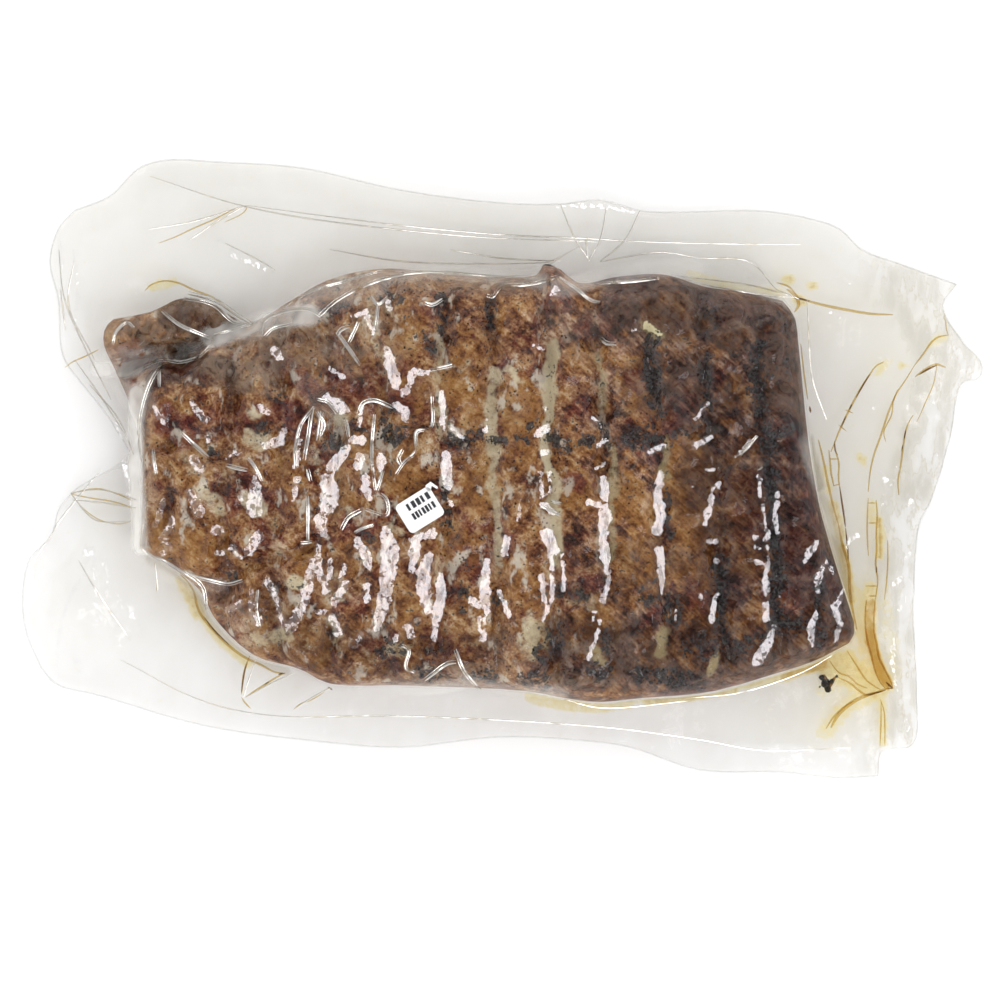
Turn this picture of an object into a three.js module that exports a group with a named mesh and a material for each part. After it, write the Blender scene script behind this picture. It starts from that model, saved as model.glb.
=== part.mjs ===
// A smoked beef brisket, vacuum packed in a clear pouch that lies flat.
// Millimetres, +Z up. X runs along the pouch, Y across it, and Z = 0 is the surface that it rests on.
import * as THREE from 'three';

// ---------------------------------------------------------------- driving dimensions
const MEAT_THICKNESS = 47; // flat of the brisket, at its thick end
const THIN_END_THICKNESS = 36; // the end with the loose flap
const FILM_SEAM_HEIGHT = 15; // where the film lets go of the meat's side
const FOOT_HEIGHT = 5; // where the back film lets go of it
const FOOT_INSET = 9; // the flat underside lies this far inside the outline
const SKIRT_REST_HEIGHT = 2.3; // top of the empty pouch round the meat, where it lies flat
const SKIRT_THICKNESS = 1.6; // two films with a little air between them

const NET_PITCH = 25.9; // distance between the cords of the smoking net
const NET_MIDDLE = new THREE.Vector2(47.4, 13); // on the cord nearest the middle of the thick part
const NET_LEAN = { middle: 0.05, perCord: 0.012 }; // the cords' slope, mm sideways per mm along Y
const NET_CORDS_LEFT = 9;
const NET_CORDS_RIGHT = 4;
const NET_GROOVE = { depth: 3.4, width: 4.6 };
const CROSS_CORD_Y = [13, -60];
const CROSS_GROOVE = { depth: 2.2, width: 4.2 };

const LABEL = { width: 19.3, height: 15.7, thickness: 0.25, corner: 2.2, turn: 0.555 };
const LABEL_CENTRE = new THREE.Vector2(-40, -20);
const LABEL_SLOPE = new THREE.Vector2(0.03, 0.05); // rise of the bed along X and Y
const LABEL_BED = { flat: 17, blend: 27 };
const LABEL_GAP = 0.3;

// ---------------------------------------------------------------- mesh density
const ALONG = 54; // cells along the meat
const ACROSS = 31; // cells across it
const SHOULDER_INSET = 5; // the top patch ends this far inside the outline
const WALL_INSET = 1.4;
const INSET_STEP = 1.2; // an outline is moved inwards in steps of at most this
const INSET_EVENING = 0.5; // share of the way to the middle of its neighbours that each point goes
const SKIRT_STEPS = [0, 0.1, 0.26, 0.5, 0.76, 1]; // shares of the way out to the pouch's edge

// ---------------------------------------------------------------- outlines
// Each outline is four open sides, from corner to corner, counter-clockwise from above.
const meatOutline = {
  bottom: [[-177, -39], [-162, -48], [-148, -60], [-141, -73], [-122, -91], [-99, -98], [-85, -105], [-50, -106],
    [27, -109], [66, -111], [100, -109], [129, -101], [153, -93], [168, -85]],
  right: [[168, -85], [171, -79], [168, -66], [162, -47], [154, -18], [149, 11], [144, 60], [142, 74], [136, 82]],
  top: [[136, 82], [119, 86], [98, 89], [78, 95], [56, 94], [37, 91], [27, 98], [20, 100], [16, 95], [-26, 95],
    [-57, 98], [-84, 93], [-106, 81], [-123, 71], [-132, 74], [-145, 82], [-158, 83], [-171, 77], [-190, 73]],
  left: [[-190, 73], [-194, 69], [-195, 61], [-190, 49], [-183, 33], [-177, 16], [-176, -1], [-177, -39]],
};
const pouchOutline = {
  bottom: [[-226, -97], [-219, -105], [-197, -111], [-148, -125], [-99, -132], [-51, -136], [-2, -131], [42, -133],
    [62, -136], [96, -147], [135, -148], [164, -151], [183, -150]],
  right: [[183, -150], [185, -138], [200, -135], [202, -108], [200, -64], [203, -27], [209, -15], [218, 14],
    [224, 42], [232, 44], [233, 52], [224, 61], [214, 79], [221, 90]],
  top: [[221, 90], [194, 100], [175, 107], [164, 117], [150, 122], [125, 126], [69, 126], [47, 131], [28, 129],
    [-2, 130], [-51, 136], [-99, 147], [-139, 150], [-165, 151], [-178, 147], [-192, 133], [-209, 126]],
  left: [[-209, 126], [-217, 117], [-221, 101], [-217, 83], [-215, 55], [-207, 43], [-191, 23], [-182, 4],
    [-195, -2], [-209, -10], [-217, -19], [-221, -33], [-231, -44], [-234, -59], [-233, -79], [-226, -97]],
};
const SIDES = ['bottom', 'right', 'top', 'left'];

// ---------------------------------------------------------------- relief of the packed meat
// Folds of the meat that the film is drawn into.
const meatFolds = [
  { path: [[-121, 71], [-136, 69], [-146, 62], [-150, 56], [-168, 54], [-190, 46]], depth: 13, width: 5.5 }, // flap
  { path: [[-152, -58], [-134, -57], [-124, -45], [-112, -44], [-92, -37]], depth: 5, width: 5 },
  { path: [[40, 60], [54, 63], [68, 67], [81, 62], [92, 55]], depth: 3, width: 4 },
];
// Low places and swellings of the whole cut: centre, reach and height.
const meatSwells = [
  { at: [-165, 67], reach: 24, height: -9 },
  { at: [-150, -75], reach: 34, height: -9 },
  { at: [60, -30], reach: 70, height: 3 },
  { at: [-60, -60], reach: 40, height: 2.5 },
  { at: [-95, 70], reach: 34, height: -6 },
  { at: [120, 55], reach: 45, height: -2.5 },
];
const LUMPS = { count: 7, height: 1.1, longestWave: 58, shrink: 0.78 };
const GOLDEN_ANGLE = 2.399963;

// ---------------------------------------------------------------- relief of the empty pouch
// Places where the empty pouch stands off the surface: centre, reach and height.
const pouchLifts = [
  { at: [-190, 96], reach: 34, height: 15 },
  { at: [-214, -62], reach: 26, height: 13 },
  { at: [-178, 22], reach: 16, height: 7 },
  { at: [-60, 124], reach: 44, height: 7 },
  { at: [36, 118], reach: 24, height: 9 },
  { at: [150, 104], reach: 30, height: 6 },
  { at: [212, 62], reach: 26, height: 10 },
  { at: [192, -48], reach: 26, height: 5 },
  { at: [132, -132], reach: 26, height: 4 },
  { at: [-110, -118], reach: 34, height: 5 },
];
const POUCH_RIPPLE = { height: 0.9, wave: 23 };
const SEAL_RUFFLE = { fromX: 186, height: 1.5, wave: 15 };
const TENT_REACH = 8.5; // how fast the film falls from the meat's side
const BACK_REACH = 6;
// Corners where the film spans out from the meat in a tent: place, reach along the outline, and longer fall.
const tents = [
  { at: [140, 80], reach: 16, fall: 16 },
  { at: [168, -80], reach: 18, fall: 15 },
  { at: [150, 10], reach: 26, fall: 9 },
  { at: [-120, 72], reach: 18, fall: 12 },
  { at: [-180, 20], reach: 22, fall: 8 },
  { at: [-143, -66], reach: 16, fall: 6 },
];

// ---------------------------------------------------------------- helpers
const smoothstep = (low, high, value) => THREE.MathUtils.smoothstep(value, low, high);
const hump = (distance, reach) => Math.exp(-((distance / reach) ** 2));

function distanceToPath(x, y, path) {
  let nearest = Infinity;
  for (let i = 0; i + 1 < path.length; i++) {
    const [ax, ay] = path[i];
    const [bx, by] = path[i + 1];
    const [dx, dy] = [bx - ax, by - ay];
    const share = THREE.MathUtils.clamp(((x - ax) * dx + (y - ay) * dy) / (dx * dx + dy * dy), 0, 1);
    nearest = Math.min(nearest, Math.hypot(x - ax - share * dx, y - ay - share * dy));
  }
  return nearest;
}

function sumOfHumps(x, y, humps) {
  return humps.reduce((sum, h) => sum + h.height * hump(Math.hypot(x - h.at[0], y - h.at[1]), h.reach), 0);
}

// Gentle unevenness from a few crossed waves, each shorter and lower than the one before.
function lumps(x, y) {
  let sum = 0;
  for (let i = 0; i < LUMPS.count; i++) {
    const turn = i * GOLDEN_ANGLE;
    const waveNumber = (2 * Math.PI) / (LUMPS.longestWave * LUMPS.shrink ** i);
    sum += LUMPS.height * 0.9 ** i * Math.sin(waveNumber * (x * Math.cos(turn) + y * Math.sin(turn)) + 1.7 * i);
  }
  return sum;
}

// ---------------------------------------------------------------- outlines as curves
function sideCurve(points) {
  const corners = points.map(([x, y]) => new THREE.Vector3(x, y, 0));
  return new THREE.CatmullRomCurve3(corners, false, 'centripetal');
}

function curvesOf(outline) {
  return Object.fromEntries(SIDES.map((side) => [side, sideCurve(outline[side])]));
}

// Points round an outline, matching the edge of the top patch cell by cell.
function perimeterOf(curves) {
  return SIDES.flatMap((side, i) => {
    const cells = i % 2 ? ACROSS : ALONG;
    return Array.from({ length: cells }, (_, step) => curves[side].getPointAt(step / cells));
  });
}

// Each point moved inwards, square to the outline there, in short steps that are evened out on the way.
function insetPerimeter(points, inset) {
  const steps = Math.ceil(inset / INSET_STEP);
  const near = (loop, i, shift) => loop[(i + shift + loop.length) % loop.length];
  let loop = points;
  for (let step = 0; step < steps; step++) {
    const from = loop;
    const moved = from.map((point, i) => {
      const along = near(from, i, 1).clone().sub(near(from, i, -1)).setLength(inset / steps);
      return new THREE.Vector3(point.x - along.y, point.y + along.x, 0);
    });
    loop = moved.map((point, i) => {
      const between = near(moved, i, 1).clone().add(near(moved, i, -1)).multiplyScalar(0.5);
      return point.clone().lerp(between, INSET_EVENING);
    });
  }
  return loop;
}

const meatEdge = perimeterOf(curvesOf(meatOutline));
const pouchEdge = perimeterOf(curvesOf(pouchOutline));
const meatEdgePath = [...meatEdge, meatEdge[0]].map((p) => [p.x, p.y]);

// ---------------------------------------------------------------- heights
function netGrooves(x, y) {
  let depth = 0;
  for (let cord = -NET_CORDS_LEFT; cord <= NET_CORDS_RIGHT; cord++) {
    const lean = NET_LEAN.middle + NET_LEAN.perCord * cord;
    const cordX = NET_MIDDLE.x + cord * NET_PITCH - lean * (y - NET_MIDDLE.y) + Math.sin(y / 17 + cord);
    depth += NET_GROOVE.depth * hump(x - cordX, NET_GROOVE.width);
  }
  for (const cordY of CROSS_CORD_Y) {
    depth += CROSS_GROOVE.depth * hump(y - cordY - 1.5 * Math.sin(x / 19), CROSS_GROOVE.width);
  }
  return depth;
}

// The meat's full height away from its edges, before the sides are rounded off.
function packedHeight(x, y) {
  const thickness = THREE.MathUtils.lerp(THIN_END_THICKNESS, MEAT_THICKNESS, smoothstep(-190, 40, x));
  const folds = meatFolds.reduce((sum, f) => sum + f.depth * hump(distanceToPath(x, y, f.path), f.width), 0);
  return thickness + sumOfHumps(x, y, meatSwells) + lumps(x, y) - netGrooves(x, y) - folds;
}

// The far long side slopes, and the other sides are steep.
function shoulderWidth(y) {
  return THREE.MathUtils.lerp(15, 25, smoothstep(0, 70, y));
}

const labelBedHeight = packedHeight(LABEL_CENTRE.x + 8, LABEL_CENTRE.y + 4);

function labelPlane(x, y) {
  return labelBedHeight + LABEL_SLOPE.x * (x - LABEL_CENTRE.x) + LABEL_SLOPE.y * (y - LABEL_CENTRE.y);
}

// Height of the film over the meat, a distance `inside` in from the outline.
function topHeight(x, y, inside) {
  const share = Math.min(1, inside / shoulderWidth(y));
  const rounding = (1 - (1 - share) ** 2.3) ** (1 / 2.3);
  const open = FILM_SEAM_HEIGHT + (packedHeight(x, y) - FILM_SEAM_HEIGHT) * rounding;
  const fromLabel = Math.hypot(x - LABEL_CENTRE.x, y - LABEL_CENTRE.y);
  const bed = 1 - smoothstep(LABEL_BED.flat, LABEL_BED.blend, fromLabel);
  return THREE.MathUtils.lerp(open, labelPlane(x, y), bed);
}

// Height of the empty pouch's top film where it is clear of the meat.
function skirtHeight(x, y) {
  const ripple = POUCH_RIPPLE.height * (1 + Math.sin((2 * Math.PI * (x - 0.6 * y)) / POUCH_RIPPLE.wave));
  const ruffle = SEAL_RUFFLE.height * (1 + Math.sin((2 * Math.PI * y) / SEAL_RUFFLE.wave));
  const sealed = smoothstep(SEAL_RUFFLE.fromX - 12, SEAL_RUFFLE.fromX + 12, x);
  return SKIRT_REST_HEIGHT + sumOfHumps(x, y, pouchLifts) + ripple + ruffle * sealed;
}

function tentReach(x, y) {
  const longer = tents.reduce((sum, t) => sum + t.fall * hump(Math.hypot(x - t.at[0], y - t.at[1]), t.reach), 0);
  return TENT_REACH + longer;
}

// ---------------------------------------------------------------- pouch with the meat inside
// The top patch: a Coons patch between the four sides of the inset outline.
function coonsPatch(edge) {
  const right = ALONG;
  const top = ALONG + ACROSS;
  const left = 2 * ALONG + ACROSS;
  const corner = [edge[0], edge[right], edge[top], edge[left]];
  const rows = [];
  for (let j = 0; j <= ACROSS; j++) {
    const v = j / ACROSS;
    const row = [];
    for (let i = 0; i <= ALONG; i++) {
      const u = i / ALONG;
      const point = new THREE.Vector3();
      point.addScaledVector(edge[i], 1 - v).addScaledVector(edge[left - i], v);
      point.addScaledVector(edge[(left + ACROSS - j) % edge.length], 1 - u).addScaledVector(edge[right + j], u);
      point.addScaledVector(corner[0], -(1 - u) * (1 - v)).addScaledVector(corner[1], -u * (1 - v));
      point.addScaledVector(corner[2], -u * v).addScaledVector(corner[3], -(1 - u) * v);
      row.push(point);
    }
    rows.push(row);
  }
  return rows;
}

// The loops round the pouch, from the meat's shoulder out over the skirt, round the rim and back under the meat.
function pouchLoops() {
  const wall = insetPerimeter(meatEdge, WALL_INSET);
  wall.forEach((p) => { p.z = topHeight(p.x, p.y, WALL_INSET); });
  const skirtLoop = (share, isTop) => meatEdge.map((inner, i) => {
    const point = inner.clone().lerp(pouchEdge[i], share);
    const out = point.distanceTo(inner);
    const lying = skirtHeight(point.x, point.y) - (isTop ? 0 : SKIRT_THICKNESS);
    const start = isTop ? FILM_SEAM_HEIGHT : FOOT_HEIGHT;
    const reach = isTop ? tentReach(inner.x, inner.y) : BACK_REACH;
    point.z = lying + (start - lying) * Math.exp(-out / reach);
    return point;
  });
  const topLoops = SKIRT_STEPS.map((share) => skirtLoop(share, true));
  const backLoops = SKIRT_STEPS.map((share) => skirtLoop(share, false)).reverse();
  const heel = insetPerimeter(meatEdge, 0.45 * FOOT_INSET);
  heel.forEach((p) => { p.z = 0.2 * FOOT_HEIGHT; });
  return [wall, ...topLoops, ...backLoops, heel, insetPerimeter(meatEdge, FOOT_INSET)];
}

function pouchGeometry() {
  const vertices = [];
  const triangles = [];
  const add = (point) => vertices.push(point) - 1;

  const shoulder = insetPerimeter(meatEdge, SHOULDER_INSET);
  const grid = coonsPatch(shoulder).map((row) => row.map((p) => {
    const inside = Math.max(SHOULDER_INSET, distanceToPath(p.x, p.y, meatEdgePath));
    return add(new THREE.Vector3(p.x, p.y, topHeight(p.x, p.y, inside)));
  }));
  for (let j = 0; j < ACROSS; j++) {
    for (let i = 0; i < ALONG; i++) {
      const [a, b, c, d] = [grid[j][i], grid[j][i + 1], grid[j + 1][i + 1], grid[j + 1][i]];
      triangles.push(a, b, c, a, c, d);
    }
  }

  const along = Array.from({ length: ALONG }, (_, i) => i);
  const across = Array.from({ length: ACROSS }, (_, j) => j);
  let inner = [
    ...along.map((i) => grid[0][i]),
    ...across.map((j) => grid[j][ALONG]),
    ...along.map((i) => grid[ACROSS][ALONG - i]),
    ...across.map((j) => grid[ACROSS - j][0]),
  ];
  for (const loop of pouchLoops()) {
    const outer = loop.map(add);
    outer.forEach((_, i) => {
      const next = (i + 1) % outer.length;
      triangles.push(inner[i], outer[i], outer[next], inner[i], outer[next], inner[next]);
    });
    inner = outer;
  }

  // The flat underside that the pack rests on.
  const sole = inner.map((index) => new THREE.Vector2(vertices[index].x, vertices[index].y));
  for (const [a, b, c] of THREE.ShapeUtils.triangulateShape(sole, [])) triangles.push(inner[a], inner[c], inner[b]);

  return new THREE.BufferGeometry().setFromPoints(vertices).setIndex(triangles);
}

function makePouch() {
  const material = new THREE.MeshStandardMaterial({ color: 0x7d6755, roughness: 0.25, metalness: 0 });
  const mesh = new THREE.Mesh(pouchGeometry(), material);
  mesh.name = 'pouch';
  return mesh;
}

// ---------------------------------------------------------------- price label stuck on the film
function labelShape() {
  const { width, height, corner } = LABEL;
  const [x, y] = [width / 2, height / 2];
  const shape = new THREE.Shape();
  shape.moveTo(-x + corner, -y).lineTo(x - corner, -y);
  shape.absarc(x - corner, -y + corner, corner, -Math.PI / 2, 0);
  shape.absarc(x - corner, y - corner, corner, 0, Math.PI / 2);
  shape.absarc(-x + corner, y - corner, corner, Math.PI / 2, Math.PI);
  shape.absarc(-x + corner, -y + corner, corner, Math.PI, 1.5 * Math.PI);
  return shape;
}

function makeLabel() {
  const geometry = new THREE.ExtrudeGeometry(labelShape(), {
    depth: LABEL.thickness, bevelEnabled: false, curveSegments: 6,
  });
  const material = new THREE.MeshStandardMaterial({ color: 0xf4f4f2, roughness: 0.6, metalness: 0 });
  const mesh = new THREE.Mesh(geometry, material);
  mesh.name = 'label';
  mesh.rotation.z = LABEL.turn;
  const onBed = new THREE.Group().add(mesh);
  const normal = new THREE.Vector3(-LABEL_SLOPE.x, -LABEL_SLOPE.y, 1).normalize();
  onBed.quaternion.setFromUnitVectors(new THREE.Vector3(0, 0, 1), normal);
  onBed.position.set(LABEL_CENTRE.x, LABEL_CENTRE.y, labelBedHeight).addScaledVector(normal, LABEL_GAP);
  return onBed;
}

const packedBrisket = new THREE.Group();
packedBrisket.add(makePouch(), makeLabel());
export default packedBrisket;
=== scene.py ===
# %% [markdown]
# # A smoked brisket in its vacuum pouch
#
# The pack is a flat piece of smoked beef, about 370 mm long, in a clear pouch that the vacuum has drawn
# tight. The cords of a smoking net have left furrows in the meat, the film bridges them, and the empty
# part of the pouch lies round the meat with its folds and a little amber juice. The model is built in
# millimetres and scaled to metres when a mesh is made.

# %% The fixed frame
import math

import bpy
import numpy as np
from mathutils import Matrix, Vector


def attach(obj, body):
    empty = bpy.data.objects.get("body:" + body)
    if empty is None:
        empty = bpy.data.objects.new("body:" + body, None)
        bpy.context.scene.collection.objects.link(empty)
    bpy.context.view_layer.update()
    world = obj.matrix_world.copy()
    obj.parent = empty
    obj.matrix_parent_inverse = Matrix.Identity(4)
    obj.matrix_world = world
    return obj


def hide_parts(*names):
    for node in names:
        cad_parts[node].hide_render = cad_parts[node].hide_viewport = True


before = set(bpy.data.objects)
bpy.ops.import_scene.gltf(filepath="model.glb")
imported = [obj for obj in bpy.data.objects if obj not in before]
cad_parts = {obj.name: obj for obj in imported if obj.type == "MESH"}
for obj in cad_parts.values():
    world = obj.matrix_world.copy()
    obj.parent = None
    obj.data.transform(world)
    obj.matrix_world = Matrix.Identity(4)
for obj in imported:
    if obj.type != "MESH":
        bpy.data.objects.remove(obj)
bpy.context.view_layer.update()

# %% [markdown]
# ## Places in the camera's view
#
# Outlines, folds and stains are easiest to place from above, so most points are given as the camera sees
# them: across and down, in thousandths of the view's width. The functions here turn them into
# millimetres. What lies higher is nearer to the camera and looks larger, so each list names its height.

# %% From the camera's view to millimetres
CAMERA_X, CAMERA_Y, CAMERA_Z = -1.7, -15.2, 1700  # where the camera hangs, in millimetres
VIEW_WIDTH = 490  # millimetres of the table that the camera sees
VIEW_STEPS = 1000
VIEW_STEP = VIEW_WIDTH / VIEW_STEPS
STROKE_STEP = 0.48  # a step of the view on top of the meat, in millimetres
WHOLE, TENTHS = 0, 1  # decimals that are kept


def seen_path(path, height, digits=TENTHS, width_step=1.0):
    """The points of a path in millimetres. A half width may follow the two places of a point."""
    step = VIEW_STEP * (CAMERA_Z - height) / CAMERA_Z
    points = []
    for across, down, *half_width in path:
        x = CAMERA_X + (across - VIEW_STEPS / 2) * step
        y = CAMERA_Y + (VIEW_STEPS / 2 - down) * step
        widths = [round(width * width_step, TENTHS) for width in half_width]
        points.append((round(x, digits), round(y, digits), *widths))
    return points


def seen_strokes(height, strokes):
    """Strokes of colour in millimetres. They are wide and soft, so whole millimetres are enough."""
    return [(seen_path(path, height, WHOLE), round(half_width * STROKE_STEP, TENTHS), strength)
            for path, half_width, strength in strokes]


print("one step of the view is", VIEW_STEP, "mm on the table")

# %% [markdown]
# ## Outlines
#
# Everything hangs on two outlines seen from above: where the meat's side meets the empty film, and the
# edge of the pouch. Each is four open sides from corner to corner. A centripetal Catmull-Rom curve
# rounds each side without overshooting, which a plain spline would do at the notches.

# %% Outlines of the meat and of the pouch
MEAT_SIDES = [seen_path(side, height=18, digits=WHOLE) for side in [
    [(138, 550), (170, 568), (198, 592), (212, 620), (252, 656), (300, 670), (328, 686), (400, 688),
     (530, 693), (563, 700), (600, 704), (642, 700), (710, 693), (770, 677), (820, 660), (850, 644)],
    [(850, 644), (857, 632), (850, 605), (838, 565), (822, 505), (811, 445), (801, 345), (797, 316),
     (785, 300)],
    [(785, 300), (749, 291), (705, 285), (665, 273), (620, 274), (580, 281), (560, 266), (545, 263),
     (536, 272), (450, 272), (385, 267), (330, 277), (285, 302), (250, 322), (232, 316), (205, 300),
     (178, 297), (150, 309), (112, 318)],
    [(112, 318), (103, 326), (101, 342), (112, 368), (126, 400), (138, 435), (141, 470), (138, 550)],
]]
POUCH_SIDES = [seen_path(side, height=5, digits=WHOLE) for side in [
    [(40, 667), (55, 683), (100, 697), (200, 724), (300, 740), (400, 747), (500, 737), (590, 742),
     (630, 747), (700, 770), (780, 772), (840, 778), (878, 776)],
    [(878, 776), (882, 752), (912, 745), (917, 690), (913, 600), (919, 525), (931, 500), (950, 440),
     (962, 383), (978, 378), (980, 362), (962, 345), (941, 308), (955, 285)],
    [(955, 285), (900, 264), (862, 250), (840, 230), (810, 219), (760, 212), (645, 210), (600, 201),
     (560, 205), (500, 203), (400, 190), (300, 169), (219, 161), (165, 160), (140, 168), (110, 196),
     (75, 212)],
    [(75, 212), (60, 230), (51, 262), (59, 300), (64, 357), (80, 380), (112, 422), (131, 461),
     (105, 473), (75, 489), (60, 507), (52, 537), (31, 558), (24, 590), (26, 630), (40, 667)],
]]


def smooth_path(points, per_span=24):
    """A centripetal Catmull-Rom curve through the points, as many close points."""
    p = np.asarray(points, float)
    p = np.vstack([2 * p[0] - p[1], p, 2 * p[-1] - p[-2]])
    t = np.linspace(0, 1, per_span, endpoint=False)[:, None]
    spans = []
    for a, b, c, d in zip(p[:-3], p[1:-2], p[2:-1], p[3:]):
        ab, bc, cd = (math.sqrt(np.linalg.norm(v)) for v in (b - a, c - b, d - c))
        leave = ((b - a) / ab - (c - a) / (ab + bc) + (c - b) / bc) * bc
        arrive = ((c - b) / bc - (d - b) / (bc + cd) + (d - c) / cd) * bc
        spans.append(b + leave * t + (3 * (c - b) - 2 * leave - arrive) * t**2
                     + (2 * (b - c) + leave + arrive) * t**3)
    return np.vstack([*spans, p[-2:-1]])


def at_shares(path, shares):
    """Points at the given shares of a path's length."""
    run = np.concatenate([[0], np.cumsum(np.linalg.norm(np.diff(path, axis=0), axis=1))])
    wanted = np.asarray(shares) * run[-1]
    return np.stack([np.interp(wanted, run, path[:, i]) for i in range(path.shape[1])], 1)


def perimeter(sides, along, across):
    """Points round four sides at the shares `along` the long ones and `across` the short ones."""
    loops = []
    for i, side in enumerate(sides):
        shares = (along, across, 1 - along[::-1], 1 - across[::-1])[i]
        loops.append(at_shares(smooth_path(side), shares[:-1]))
    return np.vstack(loops)


coarse_edge = perimeter(MEAT_SIDES, np.linspace(0, 1, 55), np.linspace(0, 1, 32))
print("outline of the meat:", len(coarse_edge), "points,", np.ptp(coarse_edge, axis=0).round(), "mm")

# %% [markdown]
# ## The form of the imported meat
#
# The height of the pack is a sum of plain parts: a thickness that grows from the thin end to the thick
# one, a few swells, waves that are each shorter and lower than the one before, the furrows of the net
# and a few folds. Near the outline a superellipse rounds it down to the side. The same sum shapes both
# the meat and the film, so the film lies on the meat everywhere.

# %% Sizes of the relief, in millimetres
MM = 0.001
THICK_END, THIN_END = 47, 36
SEAM_HEIGHT, FOOT_HEIGHT, FOOT_INSET = 15, 5, 9
FURROW_DEPTH, CROSS_DEPTH = 3.4, 2.2
NET_PITCH, NET_MIDDLE = 25.9, (47.4, 13)
NET_CORDS = range(-9, 5)
CROSS_CORDS = (13, -60)
LABEL_AT, LABEL_SLOPE, LABEL_TURN = (-40, -20), (0.03, 0.05), 0.555
SKIRT_REST, SKIRT_THICKNESS = 2.3, 1.6

FOLDS = [  # path, depth, width
    ([(-121, 71), (-136, 69), (-146, 62), (-150, 56), (-168, 54), (-190, 46)], 13, 5.5),
    ([(-152, -58), (-134, -57), (-124, -45), (-112, -44), (-92, -37)], 5, 5),
    ([(40, 60), (54, 63), (68, 67), (81, 62), (92, 55)], 3, 4),
]
SWELLS = [  # x, y, reach, height
    (-165, 67, 24, -9), (-150, -75, 34, -9), (60, -30, 70, 3), (-60, -60, 40, 2.5), (-95, 70, 34, -6),
    (120, 55, 45, -2.5),
]
LIFTS = [  # places where the empty pouch stands off the table: x, y, reach, height
    (-190, 96, 34, 15), (-214, -62, 26, 13), (-178, 22, 16, 7), (-60, 124, 44, 7), (36, 118, 24, 9),
    (150, 104, 30, 6), (212, 62, 26, 10), (192, -48, 26, 5), (132, -132, 26, 4), (-110, -118, 34, 5),
]
TENTS = [  # where the film spans out from the meat: x, y, reach, longer fall
    (140, 80, 16, 16), (168, -80, 18, 15), (150, 10, 26, 9), (-120, 72, 18, 12), (-180, 20, 22, 8),
    (-143, -66, 16, 6),
]


def smoothstep(low, high, value):
    t = np.clip((value - low) / (high - low), 0, 1)
    return t * t * (3 - 2 * t)


def hump(distance, reach):
    return np.exp(-((distance / reach) ** 2))


def humps(x, y, rows):
    return sum(height * hump(np.hypot(x - cx, y - cy), reach) for cx, cy, reach, height in rows)


def path_distance(x, y, path):
    """Distance from each point to a line through `path`, and how far along the line its foot lies."""
    path = np.asarray(path, float)[:, :2]
    best, foot, done = np.full(x.shape, np.inf), np.zeros(x.shape), 0.0
    for a, b in zip(path[:-1], path[1:]):
        d = b - a
        length = math.hypot(*d)
        if length == 0:
            continue
        share = np.clip(((x - a[0]) * d[0] + (y - a[1]) * d[1]) / length**2, 0, 1)
        away = np.hypot(x - a[0] - share * d[0], y - a[1] - share * d[1])
        foot = np.where(away < best, done + share * length, foot)
        best = np.minimum(best, away)
        done += length
    return best, foot


def lumps(x, y):
    total = 0
    for i in range(7):
        turn, number = i * 2.399963, 2 * math.pi / (58 * 0.78**i)
        total = total + 1.1 * 0.9**i * np.sin(number * (x * math.cos(turn) + y * math.sin(turn)) + 1.7 * i)
    return total


def cord_x(cord, y):
    """Where a cord of the net crosses the line at y."""
    lean = 0.05 + 0.012 * cord
    return NET_MIDDLE[0] + cord * NET_PITCH - lean * (y - NET_MIDDLE[1]) + np.sin(y / 17 + cord)


def off_row(x, y, at):
    """Distance across from a cord that runs along the meat."""
    return y - at - 1.5 * np.sin(x / 19)


def furrows(x, y, narrow=1.0):
    depth = sum(FURROW_DEPTH * hump(x - cord_x(cord, y), 4.6 * narrow) for cord in NET_CORDS)
    return depth + sum(CROSS_DEPTH * hump(off_row(x, y, at), 4.2 * narrow) for at in CROSS_CORDS)


def packed_height(x, y):
    thickness = THIN_END + (THICK_END - THIN_END) * smoothstep(-190, 40, x)
    folded = sum(depth * hump(path_distance(x, y, path)[0], width) for path, depth, width in FOLDS)
    return thickness + humps(x, y, SWELLS) + lumps(x, y) - furrows(x, y) - folded


label_bed = float(packed_height(np.array(LABEL_AT[0] + 8.0), np.array(LABEL_AT[1] + 4.0)))


def label_plane(x, y):
    return label_bed + LABEL_SLOPE[0] * (x - LABEL_AT[0]) + LABEL_SLOPE[1] * (y - LABEL_AT[1])


def top_height(x, y, inside):
    """Height of the film over the meat, a distance `inside` in from the outline."""
    share = np.minimum(1, inside / (15 + 10 * smoothstep(0, 70, y)))
    rounding = (1 - (1 - share) ** 2.3) ** (1 / 2.3)
    height = SEAM_HEIGHT + (packed_height(x, y) - SEAM_HEIGHT) * rounding
    bed = 1 - smoothstep(17, 27, np.hypot(x - LABEL_AT[0], y - LABEL_AT[1]))
    return height + (label_plane(x, y) - height) * bed


def skirt_height(x, y):
    return SKIRT_REST + 0.9 + humps(x, y, LIFTS)


print("top at the middle of the pack:", top_height(np.array(0.0), np.array(0.0), 99).round(1), "mm")

# %% [markdown]
# ## Meshes from loops and patches
#
# Both shells are built the same way. A Coons patch fills the outline from its four sides, so its rows run
# along the meat and its columns across it. Loops of the same points go on from its rim. Under the meat
# the loops are halved twice, because nobody sees the underside from close by, and a coarser patch closes
# it. The rows lie closer together near the rim, where the side falls steeply.

# %% A shell that grows loop by loop
CELLS_ALONG, CELLS_ACROSS = 300, 168


def graded(cells, fine=12, least=0.22):
    """Shares of a side, with the first and last cells narrower than the rest."""
    width = np.ones(cells)
    width[:fine] = np.linspace(least, 1, fine, endpoint=False)
    width[-fine:] = width[:fine][::-1]
    return np.concatenate([[0], np.cumsum(width)]) / width.sum()


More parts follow.
